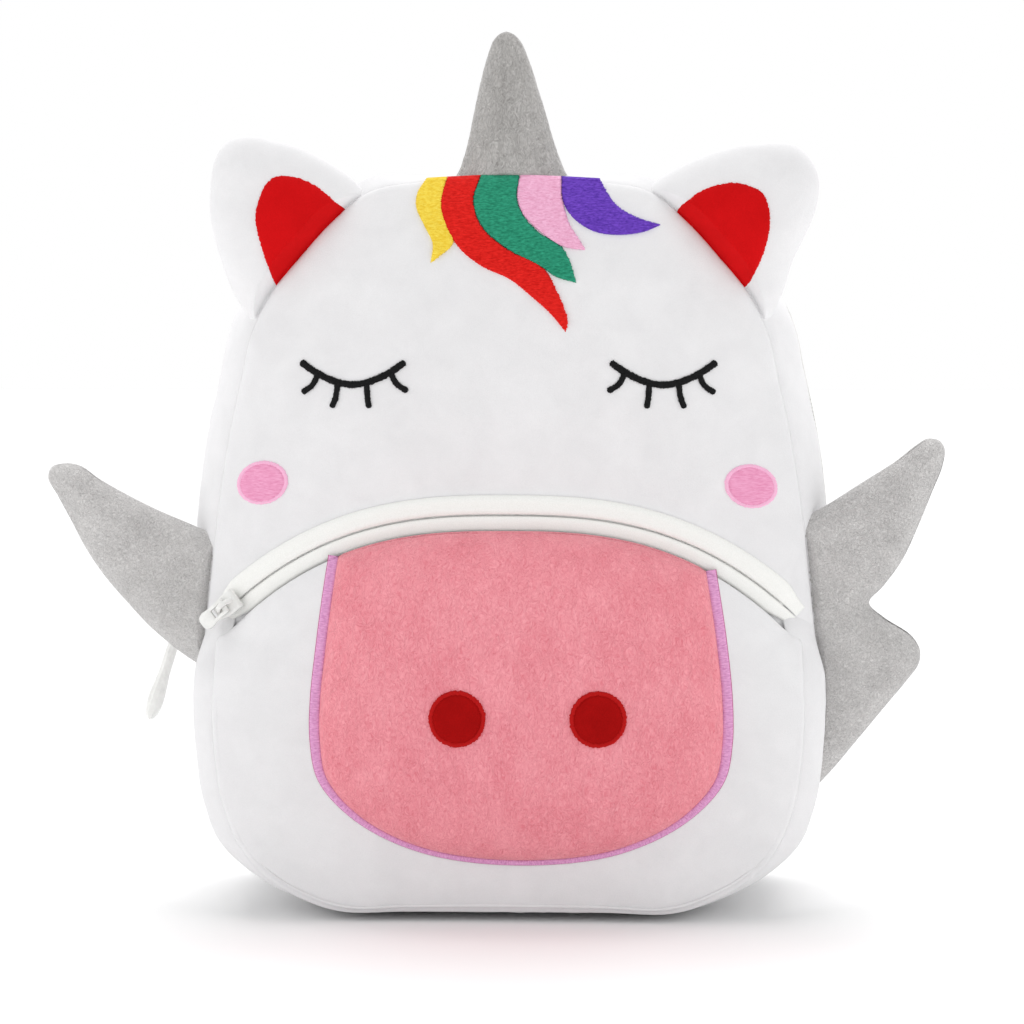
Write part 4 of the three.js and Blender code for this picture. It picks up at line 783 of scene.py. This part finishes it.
ear_fronts = {}
for side, sign in (("left", -1), ("right", 1)):
    def on_ear(rows):
        return [(sign * (EAR_ROOT[0] + a * EAR_SIZE[0]), EAR_ROOT[1] + u * EAR_SIZE[1]) for a, u in rows]
    ear = cushion(on_ear(EARS[side][0]), on_ear([(0.56, 0.5)])[0], EAR_Y, EAR_THICKNESS, reach=17, pile=0.05,
                  seed=81 + sign)
    ear_fronts[side] = (surface_of(ear, lambda x, z: EAR_Y), on_ear(EARS[side][1]), on_ear([(0.44, 0.5)])[0])
    make(f"ear_{side}_stuffed", ear, WHITE, [f"ear_{side}"])

for side, (sign, size, middle, rows) in WINGS.items():
    def on_wing(rows):
        return [(sign * (WING_ROOT + a * size["reach"]), size["foot"] + u * size["height"]) for a, u in rows]
    wing = cushion(on_wing(rows), on_wing([middle])[0], WING_Y, WING_THICKNESS, reach=13, pile=0.1,
                   seed=87 + sign, count=440, rings=(40, 18))
    make(f"wing_{side}_stuffed", wing, GREY, [f"wing_{side}"])

HORN_FOOT, HORN_HEIGHT, HORN_HALF_WIDTH, HORN_HALF_DEPTH = BAG_HEIGHT - 5, 57.8, 20.5, 12.5
HORN_Y, HORN_LEAN = -20, -2.4
# The horn's half width at each height, as shares
HORN = [(-0.1, 1.1), (0, 1.07), (0.09, 1.0), (0.135, 0.93), (0.21, 0.85), (0.33, 0.75), (0.57, 0.58), (0.82, 0.37),
        (0.94, 0.23), (0.985, 0.11), (1, 0)]


def horn_mesh():
    profile = spaced(spline([(u * HORN_HEIGHT, a * HORN_HALF_WIDTH) for u, a in HORN]), 110)
    rows = []
    for height, half in profile:
        row = []
        for turn in np.linspace(0, 2 * math.pi, 181):
            cx, cy = math.cos(turn), math.sin(turn)
            bump = 0.35 * lump(cx * 20, cy * 20, height, 15, 91)
            bump += 0.16 * lump(cx * 14, cy * 14, height * 0.6, 0.9, 92)
            grow = max(0.0, half + bump * smooth(half / 3))
            x = cx * grow + HORN_LEAN * height / HORN_HEIGHT + 1
            y = HORN_Y + cy * grow * HORN_HALF_DEPTH / HORN_HALF_WIDTH
            z = HORN_FOOT + height
            row.append((x, tucked(x, y, z), z))
        rows.append(row)
    return closed_up(grid(rows))


make("horn_stuffed", horn_mesh(), HORN_TERRY_WITH_PAINTED_SHADE, ["horn"])


# Pads of cloth and thread laid on a surface

def pad(rim, middle, depth, height, rows, held=lambda x, y, z: y):
    """A closed pad within a rim; height gives its rise at (share, turn), and its plain back lies behind the surface."""
    sheet = []
    loop = [*rim, rim[0]]
    for share, front in [*[(s, True) for s in rows], (0.97, False), (0.6, False), (0.0, False)]:
        row = []
        for j, (x, z) in enumerate(loop):
            px, pz = mix(middle[0], x, share), mix(middle[1], z, share)
            rise = height(share, j / (len(loop) - 1), px, pz) if front else -0.5
            row.append((px, held(px, depth(px, pz) - rise, pz), pz))
        sheet.append(row)
    return closed_up(grid(sheet))


def ragged(rim, middle, amount, size, seed):
    """A rim whose pile or stitches stand out unevenly."""
    out = []
    for x, z in rim:
        reach = math.hypot(x - middle[0], z - middle[1])
        grow = 1 + amount * lump(x, 0, z, size, seed) / reach
        out.append((mix(middle[0], x, grow), mix(middle[1], z, grow)))
    return out


for side, (front, rows, centre) in ear_fronts.items():
    rim = ragged([tuple(p) for p in spaced(spline(rows, True), 300, True)], centre, 0.35, 0.6, 95)
    red = pad(rim, centre, front, lambda s, t, x, z: -0.2 + 1.6 * max(0.0, 1 - s ** 9) ** 0.5, close_rows(26),
              lambda x, y, z: tucked(x, y, z, 0.35))
    make(f"ear_inner_{side}_velour", red, EAR_RED, [f"ear_inner_{side}"])

MUZZLE_HALF_WIDTH, ARCH_BELOW = 71, -5.4
# Its right side from the corner at the zip to its foot, as [across, up]
MUZZLE_SIDE = [(0.92, 0.885), (0.97, 0.675), (1, 0.49), (1, 0.356), (0.965, 0.246), (0.79, 0.128), (0.465, 0.034)]


def muzzle_sides():
    top = arch_place(0, -5.9)[1]
    rows = [(a * MUZZLE_HALF_WIDTH, mix(MUZZLE_BOTTOM, top, u)) for a, u in MUZZLE_SIDE]
    lip = np.array([arch_place(x, ARCH_BELOW)[:2] for x in np.linspace(-ARCH_HALF_WIDTH, ARCH_HALF_WIDTH, 400)])
    ends = [float(np.interp(MUZZLE_SHIFT + sign * rows[0][0], lip[:, 0], lip[:, 1])) - 0.3 for sign in (-1, 1)]
    left = [(MUZZLE_SHIFT - rows[0][0], ends[0]), *[(MUZZLE_SHIFT - x, z) for x, z in rows[1:]]]
    right = [(MUZZLE_SHIFT + rows[0][0], ends[1]), *[(MUZZLE_SHIFT + x, z) for x, z in rows[1:]]]
    return spaced(spline([*left, (MUZZLE_SHIFT, MUZZLE_BOTTOM), *reversed(right)]), 320)


side_curve = muzzle_sides()
lip_curve = [arch_place(x, ARCH_BELOW)[:2] for x in np.linspace(side_curve[-1][0], side_curve[0][0], 160)]
top_curve = [p for p in lip_curve if side_curve[0][0] + 0.3 < p[0] < side_curve[-1][0] - 0.3]
muzzle_rim = np.vstack([side_curve, top_curve])
NOSTRILS = {"left": (7.9 - 24.6, 74.5), "right": (7.9 + 24.6, 74.5)}


def muzzle_height(share, turn, x, z):
    rise = 3.2 * max(0.0, 1 - share ** 16) ** 0.5 + (MUZZLE_RISE - 0.5) * dome(share)
    for nx, nz in NOSTRILS.values():
        rise -= 1.3 * math.exp(-(((x - nx) ** 2 + (z - nz) ** 2) / 13 ** 2))
    return rise + smooth((1 - share) * 8) * (0.5 * lump(x, 0, z, 26, 41) + 0.1 * lump(x, 0, z, 3, 43))


snout = pad([tuple(p) for p in muzzle_rim], MUZZLE_MIDDLE, pocket_depth, muzzle_height, close_rows(84, 1.6))
snout_depth = surface_of(snout, pocket.depth)
make("muzzle_plush", snout, PINK, ["muzzle"])


def ellipse(middle, radii, tilt, count):
    out = []
    for t in np.linspace(0, 2 * math.pi, count, endpoint=False):
        a, b = radii[0] * math.cos(t), radii[1] * math.sin(t)
        out.append((middle[0] + a * math.cos(tilt) - b * math.sin(tilt),
                    middle[1] + a * math.sin(tilt) + b * math.cos(tilt)))
    return out


def stitched_rim(base, groove, depth_of_groove, stitches):
    """A low pad with a groove inside a rim of stitches that run outwards."""
    def height(share, turn, x, z):
        ridge = -depth_of_groove * math.exp(-(((share - groove) / 0.035) ** 2))
        rib = 0.07 * math.cos(turn * 2 * math.pi * stitches) * smooth((share - groove) / 0.04)
        return base * max(0.0, 1 - share ** 24) ** 0.5 + ridge + rib - 0.1
    return height


for side, middle in NOSTRILS.items():
    rim = ragged(ellipse(middle, (10, 10), 0, 280), middle, 0.4, 0.55, 97)
    stitches = stitched_rim(base=1.1, groove=0.85, depth_of_groove=0.4, stitches=90)
    disc = pad(rim, middle, snout_depth, stitches, close_rows(30, 1.3))
    make(f"nostril_{side}_plush", disc, NOSTRIL_RED, [f"nostril_{side}"])

CHEEK_MIDDLES = {"left": (-88.3, 155.0), "right": (86.7, 154.1)}
for (side, middle), sign in zip(CHEEK_MIDDLES.items(), (-1, 1)):
    rim = ragged(ellipse(middle, (9.7, 7.7), -sign * math.radians(14), 260), middle, 0.25, 0.5, 98)
    stitches = stitched_rim(base=0.75, groove=0.84, depth_of_groove=0.3, stitches=80)
    disc = pad(rim, middle, face_depth, stitches, close_rows(28, 1.3))
    make(f"cheek_{side}_satin", disc, CHEEK, [f"cheek_{side}"])


def turned_path(points):
    """Rows of (x, z, across) along a curve."""
    out = []
    for i, p in enumerate(points):
        before, after = points[max(0, i - 1)], points[min(len(points) - 1, i + 1)]
        length = math.hypot(after[0] - before[0], after[1] - before[1])
        out.append((p[0], p[1], ((after[1] - before[1]) / length, -(after[0] - before[0]) / length)))
    return out


BORDER_COUNT = 900


def border_mesh():
    """The satin border round the muzzle, down one side, along its foot and up the other."""
    path = turned_path([tuple(p) for p in spaced(side_curve, BORDER_COUNT)])
    if path[0][2][0] > 0:
        path = [(x, z, (-ax, -az)) for x, z, (ax, az) in path]

    def profile(t):
        z = path[round(t * (len(path) - 1))][1]
        width = mix(3.9, 2.2, 1 - smooth((z - MUZZLE_BOTTOM) / 43))
        rib = 0.07 * math.cos(2 * math.pi * t * BORDER_COUNT / 2.6)
        shape = [(s, 0.65 * (1 - abs(2 * s - 1) ** 4) + 0.25 + rib) for s in np.linspace(0, 1, 8)]
        return [(-0.4, -0.3), *[(-0.3 + s * width, h) for s, h in shape], (width - 0.2, -0.3)]
    return laid(path, profile, pocket_depth)


make("muzzle_border_satin", border_mesh(), TRIM, ["muzzle_trim"])

# Eyes: one arc and four lashes each, in thick satin stitch
EYE_OFFSET, EYE_HEIGHT, EYE_HALF_WIDTH, EYE_SAG, EYE_STROKE = 55.3, 190.3, 18.9, 8.1, 2.3
LASHES = [(0.66, 0.97, 0.36), (0.28, 0.4, 0.48), (-0.27, -0.32, 0.48), (-0.72, -1.05, 0.36)]


def stroke(points, width, seed):
    curve = spline(points)
    length = run_of(curve)
    path = turned_path([tuple(p) for p in spaced(curve, max(24, round(length / 0.16)))])

    def profile(t):
        run = t * length
        ends = min(1.0, 0.45 + min(run, length - run) / 0.9)
        rib = 0.1 * math.cos(2 * math.pi * run / 0.5)
        out = []
        for s in (-0.98, -0.75, -0.4, 0, 0.4, 0.75, 0.98):
            uneven = 1 + 0.1 * lump(run, 0, 0, 2.5, seed) + 0.34 * abs(s) * lump(run, s * 9, 0, 0.38, seed)
            out.append((width / 2 * s * ends * uneven, (0.8 + rib) * math.sqrt(1 - 0.8 * s * s) * ends))
        return [(out[0][0], -0.25), *out, (out[-1][0], -0.25)]
    return laid(path, profile, face_depth)


def eye(sign):
    def arc(share):
        return EYE_HEIGHT + EYE_SAG * abs(share) ** 1.8

    def place(share, z):
        return (sign * (EYE_OFFSET + share * EYE_HALF_WIDTH), z)
    strokes = [stroke([place(s, arc(s)) for s in np.linspace(-1, 1, 9)], EYE_STROKE * 1.08, 51)]
    for i, (root, tip, length) in enumerate(LASHES):
        start, end = place(root, arc(root)), place(tip, arc(root) - length * EYE_HALF_WIDTH)
        bend = place(mix(root, tip, 0.35), mix(start[1], end[1], 0.6))
        strokes.append(stroke([start, bend, end], EYE_STROKE * 0.93, 53 + i))
    return joined(strokes)


make("eye_left_stitches", eye(-1), BLACK, ["eye_left"])
make("eye_right_stitches", eye(1), BLACK, ["eye_right"])

# Mane: the two edges of each lock, as [across, down]: shares of the mane's width and of its drop
MANE_WIDTH, MANE_DROP = 64, 55
MANE = {
    "mane_yellow": (
        [(-0.46, 0.0), (-0.51, 0.1), (-0.515, 0.19), (-0.465, 0.32), (-0.42, 0.43), (-0.43, 0.556)],
        [(-0.345, -0.008), (-0.375, 0.17), (-0.34, 0.32), (-0.305, 0.42), (-0.43, 0.556)]),
    "mane_red": (
        [(-0.345, -0.008), (-0.38, 0.15), (-0.355, 0.3), (-0.27, 0.46), (-0.147, 0.575), (0.01, 0.66), (0.125, 0.765),
         (0.24, 0.885), (0.323, 1)],
        [(-0.158, -0.018), (-0.198, 0.15), (-0.147, 0.32), (-0.012, 0.46), (0.194, 0.587), (0.272, 0.738), (0.33, 0.92),
         (0.323, 1)]),
    "mane_green": (
        [(-0.158, -0.018), (-0.198, 0.15), (-0.147, 0.32), (-0.012, 0.46), (0.194, 0.587), (0.26, 0.64), (0.38, 0.684)],
        [(0.058, -0.02), (0.047, 0.135), (0.08, 0.24), (0.17, 0.358), (0.295, 0.45), (0.34, 0.54), (0.38, 0.684)]),
    "mane_pink": (
        [(0.058, -0.02), (0.047, 0.135), (0.08, 0.24), (0.194, 0.37), (0.306, 0.449), (0.43, 0.473)],
        [(0.294, -0.01), (0.3, 0.135), (0.34, 0.305), (0.397, 0.41), (0.43, 0.473)]),
    "mane_purple": (
        [(0.294, -0.01), (0.3, 0.147), (0.362, 0.265), (0.475, 0.35), (0.589, 0.373), (0.736, 0.358), (0.848, 0.309)],
        [(0.505, 0.004), (0.555, 0.11), (0.6, 0.18), (0.7, 0.253), (0.848, 0.309)]),
}


def lock_surface(x, z):
    """The face's cloth, and over its top edge the way back to the seam."""
    over = z - (BAG_HEIGHT - 0.6)
    if over > 0:
        return FRONT_Y - 0.9 + 1.2 * over
    return mix(face_depth(x, z), min(face.depth(x, z), FRONT_Y - 0.7) - 0.2, smooth((over + 5) / 3.5))


def lock(edges, seed):
    """One embroidered lock: its stitches lie across from edge to edge, with ragged ends."""
    curves = [spaced(spline([(a * MANE_WIDTH, BAG_HEIGHT - d * MANE_DROP) for a, d in rows]), 230) for rows in edges]
    sheet = []
    for i, (p, q) in enumerate(zip(*curves)):
        width = max(0.01, math.dist(p, q))
        rag = [0.45 * lump(i * 0.4, k * 9, 0, 0.55, seed) + 0.08 for k in (0, 1)]
        p, q = p + (p - q) / width * rag[0], q + (q - p) / width * rag[1]
        full = min(1.0, width / 3)
        front, rear = [], []
        for u in np.linspace(0, 1, 30):
            x, z = mix(p, q, u)
            rise = 1.0 * full * max(0.0, 1 - abs(2 * u - 1) ** 12) ** 0.5
            nap = 0.16 * lump(x * 0.35, 0, z, 0.42, seed)
            front.append((x, lock_surface(x, z) - rise - nap, z))
        for u in (0.98, 0.5, 0.02):
            x, z = mix(p, q, u)
            rear.append((x, lock_surface(x, z) + 0.5, z))
        sheet.append([*front, *rear, front[0]])
    return closed_up(grid(sheet))


for i, (node, edges) in enumerate(MANE.items()):
    colours = LOCK_COLOURS[node]
    material = thread(node + "_thread", *colours, (650, 650, 2100), "Object", roughness=0.75, height=0.3)
    make(node + "_stitches", lock(edges, 61 + i), material, [node])

# Straps, webbing and the grab loop

STRAP_REACH, STRAP_WIDTH, STRAP_THICKNESS, BAG_HALF_WIDTH = 48, 36, 7, 112
WEBBING_WIDTH, WEBBING_THICKNESS, WEBBING_TUCK, GRAB_WIDTH, GRAB_THICKNESS = 20, 1.5, 4, 16, 2
# Runs as [off the back, up, across]: shares of the strap's reach, the bag's height and its half width
STRAP_RUN = [(-0.2, 0.855, 0.31), (0.16, 0.864, 0.31), (0.55, 0.825, 0.32), (0.88, 0.72, 0.345), (1, 0.58, 0.38),
             (0.94, 0.42, 0.42), (0.8, 0.31, 0.455)]
WEBBING_RUN = [(0.8, 0.31, 0.455), (0.6, 0.22, 0.49), (0.36, 0.145, 0.53), (0.1, 0.092, 0.56), (-0.2, 0.06, 0.58)]


def strap_curve(run, side, count):
    points = [(side * across * BAG_HALF_WIDTH, BACK_Y + BACK_DOME / 2 + off * STRAP_REACH, up * BAG_HEIGHT)
              for off, up, across in run]
    return spaced(spline(points), count)


def band(path, profile, over=None):
    """A closed band along a path in space: profile gives (across, off) at each share of the way."""
    path = [Vector(p) for p in path]
    if over is None:
        run = (path[-1] - path[0]).normalized()
        over = (Vector((1, 0, 0)) - run * run.x).normalized()
    rows = []
    for i, p in enumerate(path):
        along = (path[min(len(path) - 1, i + 1)] - path[max(0, i - 1)]).normalized()
        off = along.cross(over).normalized()
        row = [p + over * a + off * h for a, h in profile(i / (len(path) - 1))]
        rows.append([*row, row[0]])
    return closed_up(grid(rows))


def strap_profile(width, thick, length):
    def profile(t):
        ends = smooth(min(t, 1 - t) * length / 7)
        out = []
        for side in (1, -1):
            for s in np.linspace(-side, side, 25):
                inset = (1 - abs(s)) * width / 2
                plump = math.sqrt(max(0.0, 1 - s * s)) * smooth((inset - 2.2) / 3.5)
                stitch = -0.35 * math.exp(-(((inset - 2.6) / 0.5) ** 2))
                edge = 1.0 * min(1.0, math.sqrt(max(0.0, inset) / 0.9))
                h = edge + mix(0.35, 1, ends) * (thick / 2 - 1.0) * plump + stitch
                wave = 0.25 * plump * lump(s * 9, t * length, side * 20, 11, 71)
                out.append((s * width / 2, side * max(0.02, h + wave)))
        return out
    return profile


def webbing_path(side):
    curve = strap_curve(WEBBING_RUN, side, 170)
    length = run_of(curve)
    out = []
    for i, p in enumerate(curve):
        u = i / (len(curve) - 1)
        along = Vector(curve[min(len(curve) - 1, i + 1)] - curve[max(0, i - 1)]).normalized()
        off = along.cross(Vector((1, 0, 0))).normalized()
        from_buckle = (u - 0.24) * length
        woven = -3.6 * math.cos(math.pi * from_buckle / 8.5) if abs(from_buckle) < 12.75 else 0
        out.append(Vector(p) + off * woven)
    into_strap = (out[0] - out[1]).normalized() * WEBBING_TUCK
    return [out[0] + into_strap, *out]


def flat_profile(width, thick):
    half_width, half_thick = width / 2, thick / 2
    ribs = [(a, half_thick * (0.86 + 0.14 * math.cos(a * 2 * math.pi / 2.0)))
            for a in np.linspace(-half_width + 0.15, half_width - 0.15, 21)]
    shape = [(-half_width, 0), *ribs, (half_width, 0), *[(a, -h) for a, h in reversed(ribs)]]
    return lambda t: shape


for side, sign in (("left", -1), ("right", 1)):
    path = strap_curve(STRAP_RUN, sign, 150)
    length = run_of(path)
    padded = band(path, strap_profile(STRAP_WIDTH, STRAP_THICKNESS, length))
    make(f"strap_{side}_padded", padded, STRAP_VELOUR, [f"strap_{side}"])
    woven = band(webbing_path(sign), flat_profile(WEBBING_WIDTH, WEBBING_THICKNESS))
    make(f"webbing_{side}_woven", woven, WEBBING, [f"webbing_{side}"])


def grab_path():
    out = []
    for t in np.linspace(0, 1, 90):
        angle = mix(-0.12, 1.12, t) * math.pi
        out.append(Vector((-27 * math.cos(angle), BACK_Y + 22 * math.sin(angle),
                           BAG_HEIGHT - TOP_DROP - 8 - 2 * math.sin(angle))))
    return out


loop = band(grab_path(), flat_profile(GRAB_WIDTH, GRAB_THICKNESS), Vector((0, 0, 1)))
make("grab_loop_woven", loop, WEBBING, ["grab_loop"])

# Floor, light and camera

floor_mesh = bpy.data.meshes.new("floor")
floor_bm = bmesh.new()
bmesh.ops.create_grid(floor_bm, x_segments=1, y_segments=1, size=6)
floor_bm.to_mesh(floor_mesh)
floor_bm.free()
floor = bpy.data.objects.new("floor", floor_mesh)
bpy.context.scene.collection.objects.link(floor)
paper = bpy.data.materials.new("paper_floor")
paper.use_nodes = True
paper.node_tree.nodes["Principled BSDF"].inputs["Base Color"].default_value = (0.9, 0.9, 0.9, 1)
paper.node_tree.nodes["Principled BSDF"].inputs["Roughness"].default_value = 0.9
floor_mesh.materials.append(paper)

AMBIENT, SHOWN_WHITE = 0.68, 1.0
world = bpy.data.worlds.new("studio")
world.use_nodes = True
backdrop = world.node_tree.nodes["Background"]
backdrop.inputs["Color"].default_value = (1, 1, 1, 1)
shown, strength = world.node_tree.nodes.new("ShaderNodeLightPath"), world.node_tree.nodes.new("ShaderNodeMapRange")
strength.inputs["To Min"].default_value, strength.inputs["To Max"].default_value = AMBIENT, SHOWN_WHITE
world.node_tree.links.new(shown.outputs["Is Camera Ray"], strength.inputs["Value"])
world.node_tree.links.new(strength.outputs["Result"], backdrop.inputs["Strength"])
bpy.context.scene.world = world
bpy.context.scene.view_settings.view_transform = "Standard"


def lamp(name, kind, place, energy, **settings):
    """A soft studio lamp that points at the bag."""
    data = bpy.data.lights.new(name, kind)
    data.energy = energy
    for key, value in settings.items():
        setattr(data, key, value)
    light = bpy.data.objects.new(name, data)
    light.location = Vector(place)
    light.rotation_euler = (Vector((0, 0, 0.14)) - Vector(place)).to_track_quat("-Z", "Y").to_euler()
    light.visible_camera = False
    bpy.context.scene.collection.objects.link(light)


lamp("overhead", "SUN", (0, 0.6, 1.6), 2.0, angle=math.radians(50))
lamp("left", "AREA", (-1.65, -0.6, 0.7), 6, size=0.9)
lamp("right", "AREA", (1.65, -0.5, 0.65), 5, size=0.9)

lens = bpy.data.cameras.new("camera")
lens.lens, lens.sensor_width = 110, 36
camera = bpy.data.objects.new("camera", lens)
camera.location = (0.0403, -1.1556, 0.2227)
camera.rotation_euler = (Vector((0.0011, -0.033, 0.1442)) - camera.location).to_track_quat("-Z", "Y").to_euler()
bpy.context.scene.collection.objects.link(camera)
bpy.context.scene.camera = camera
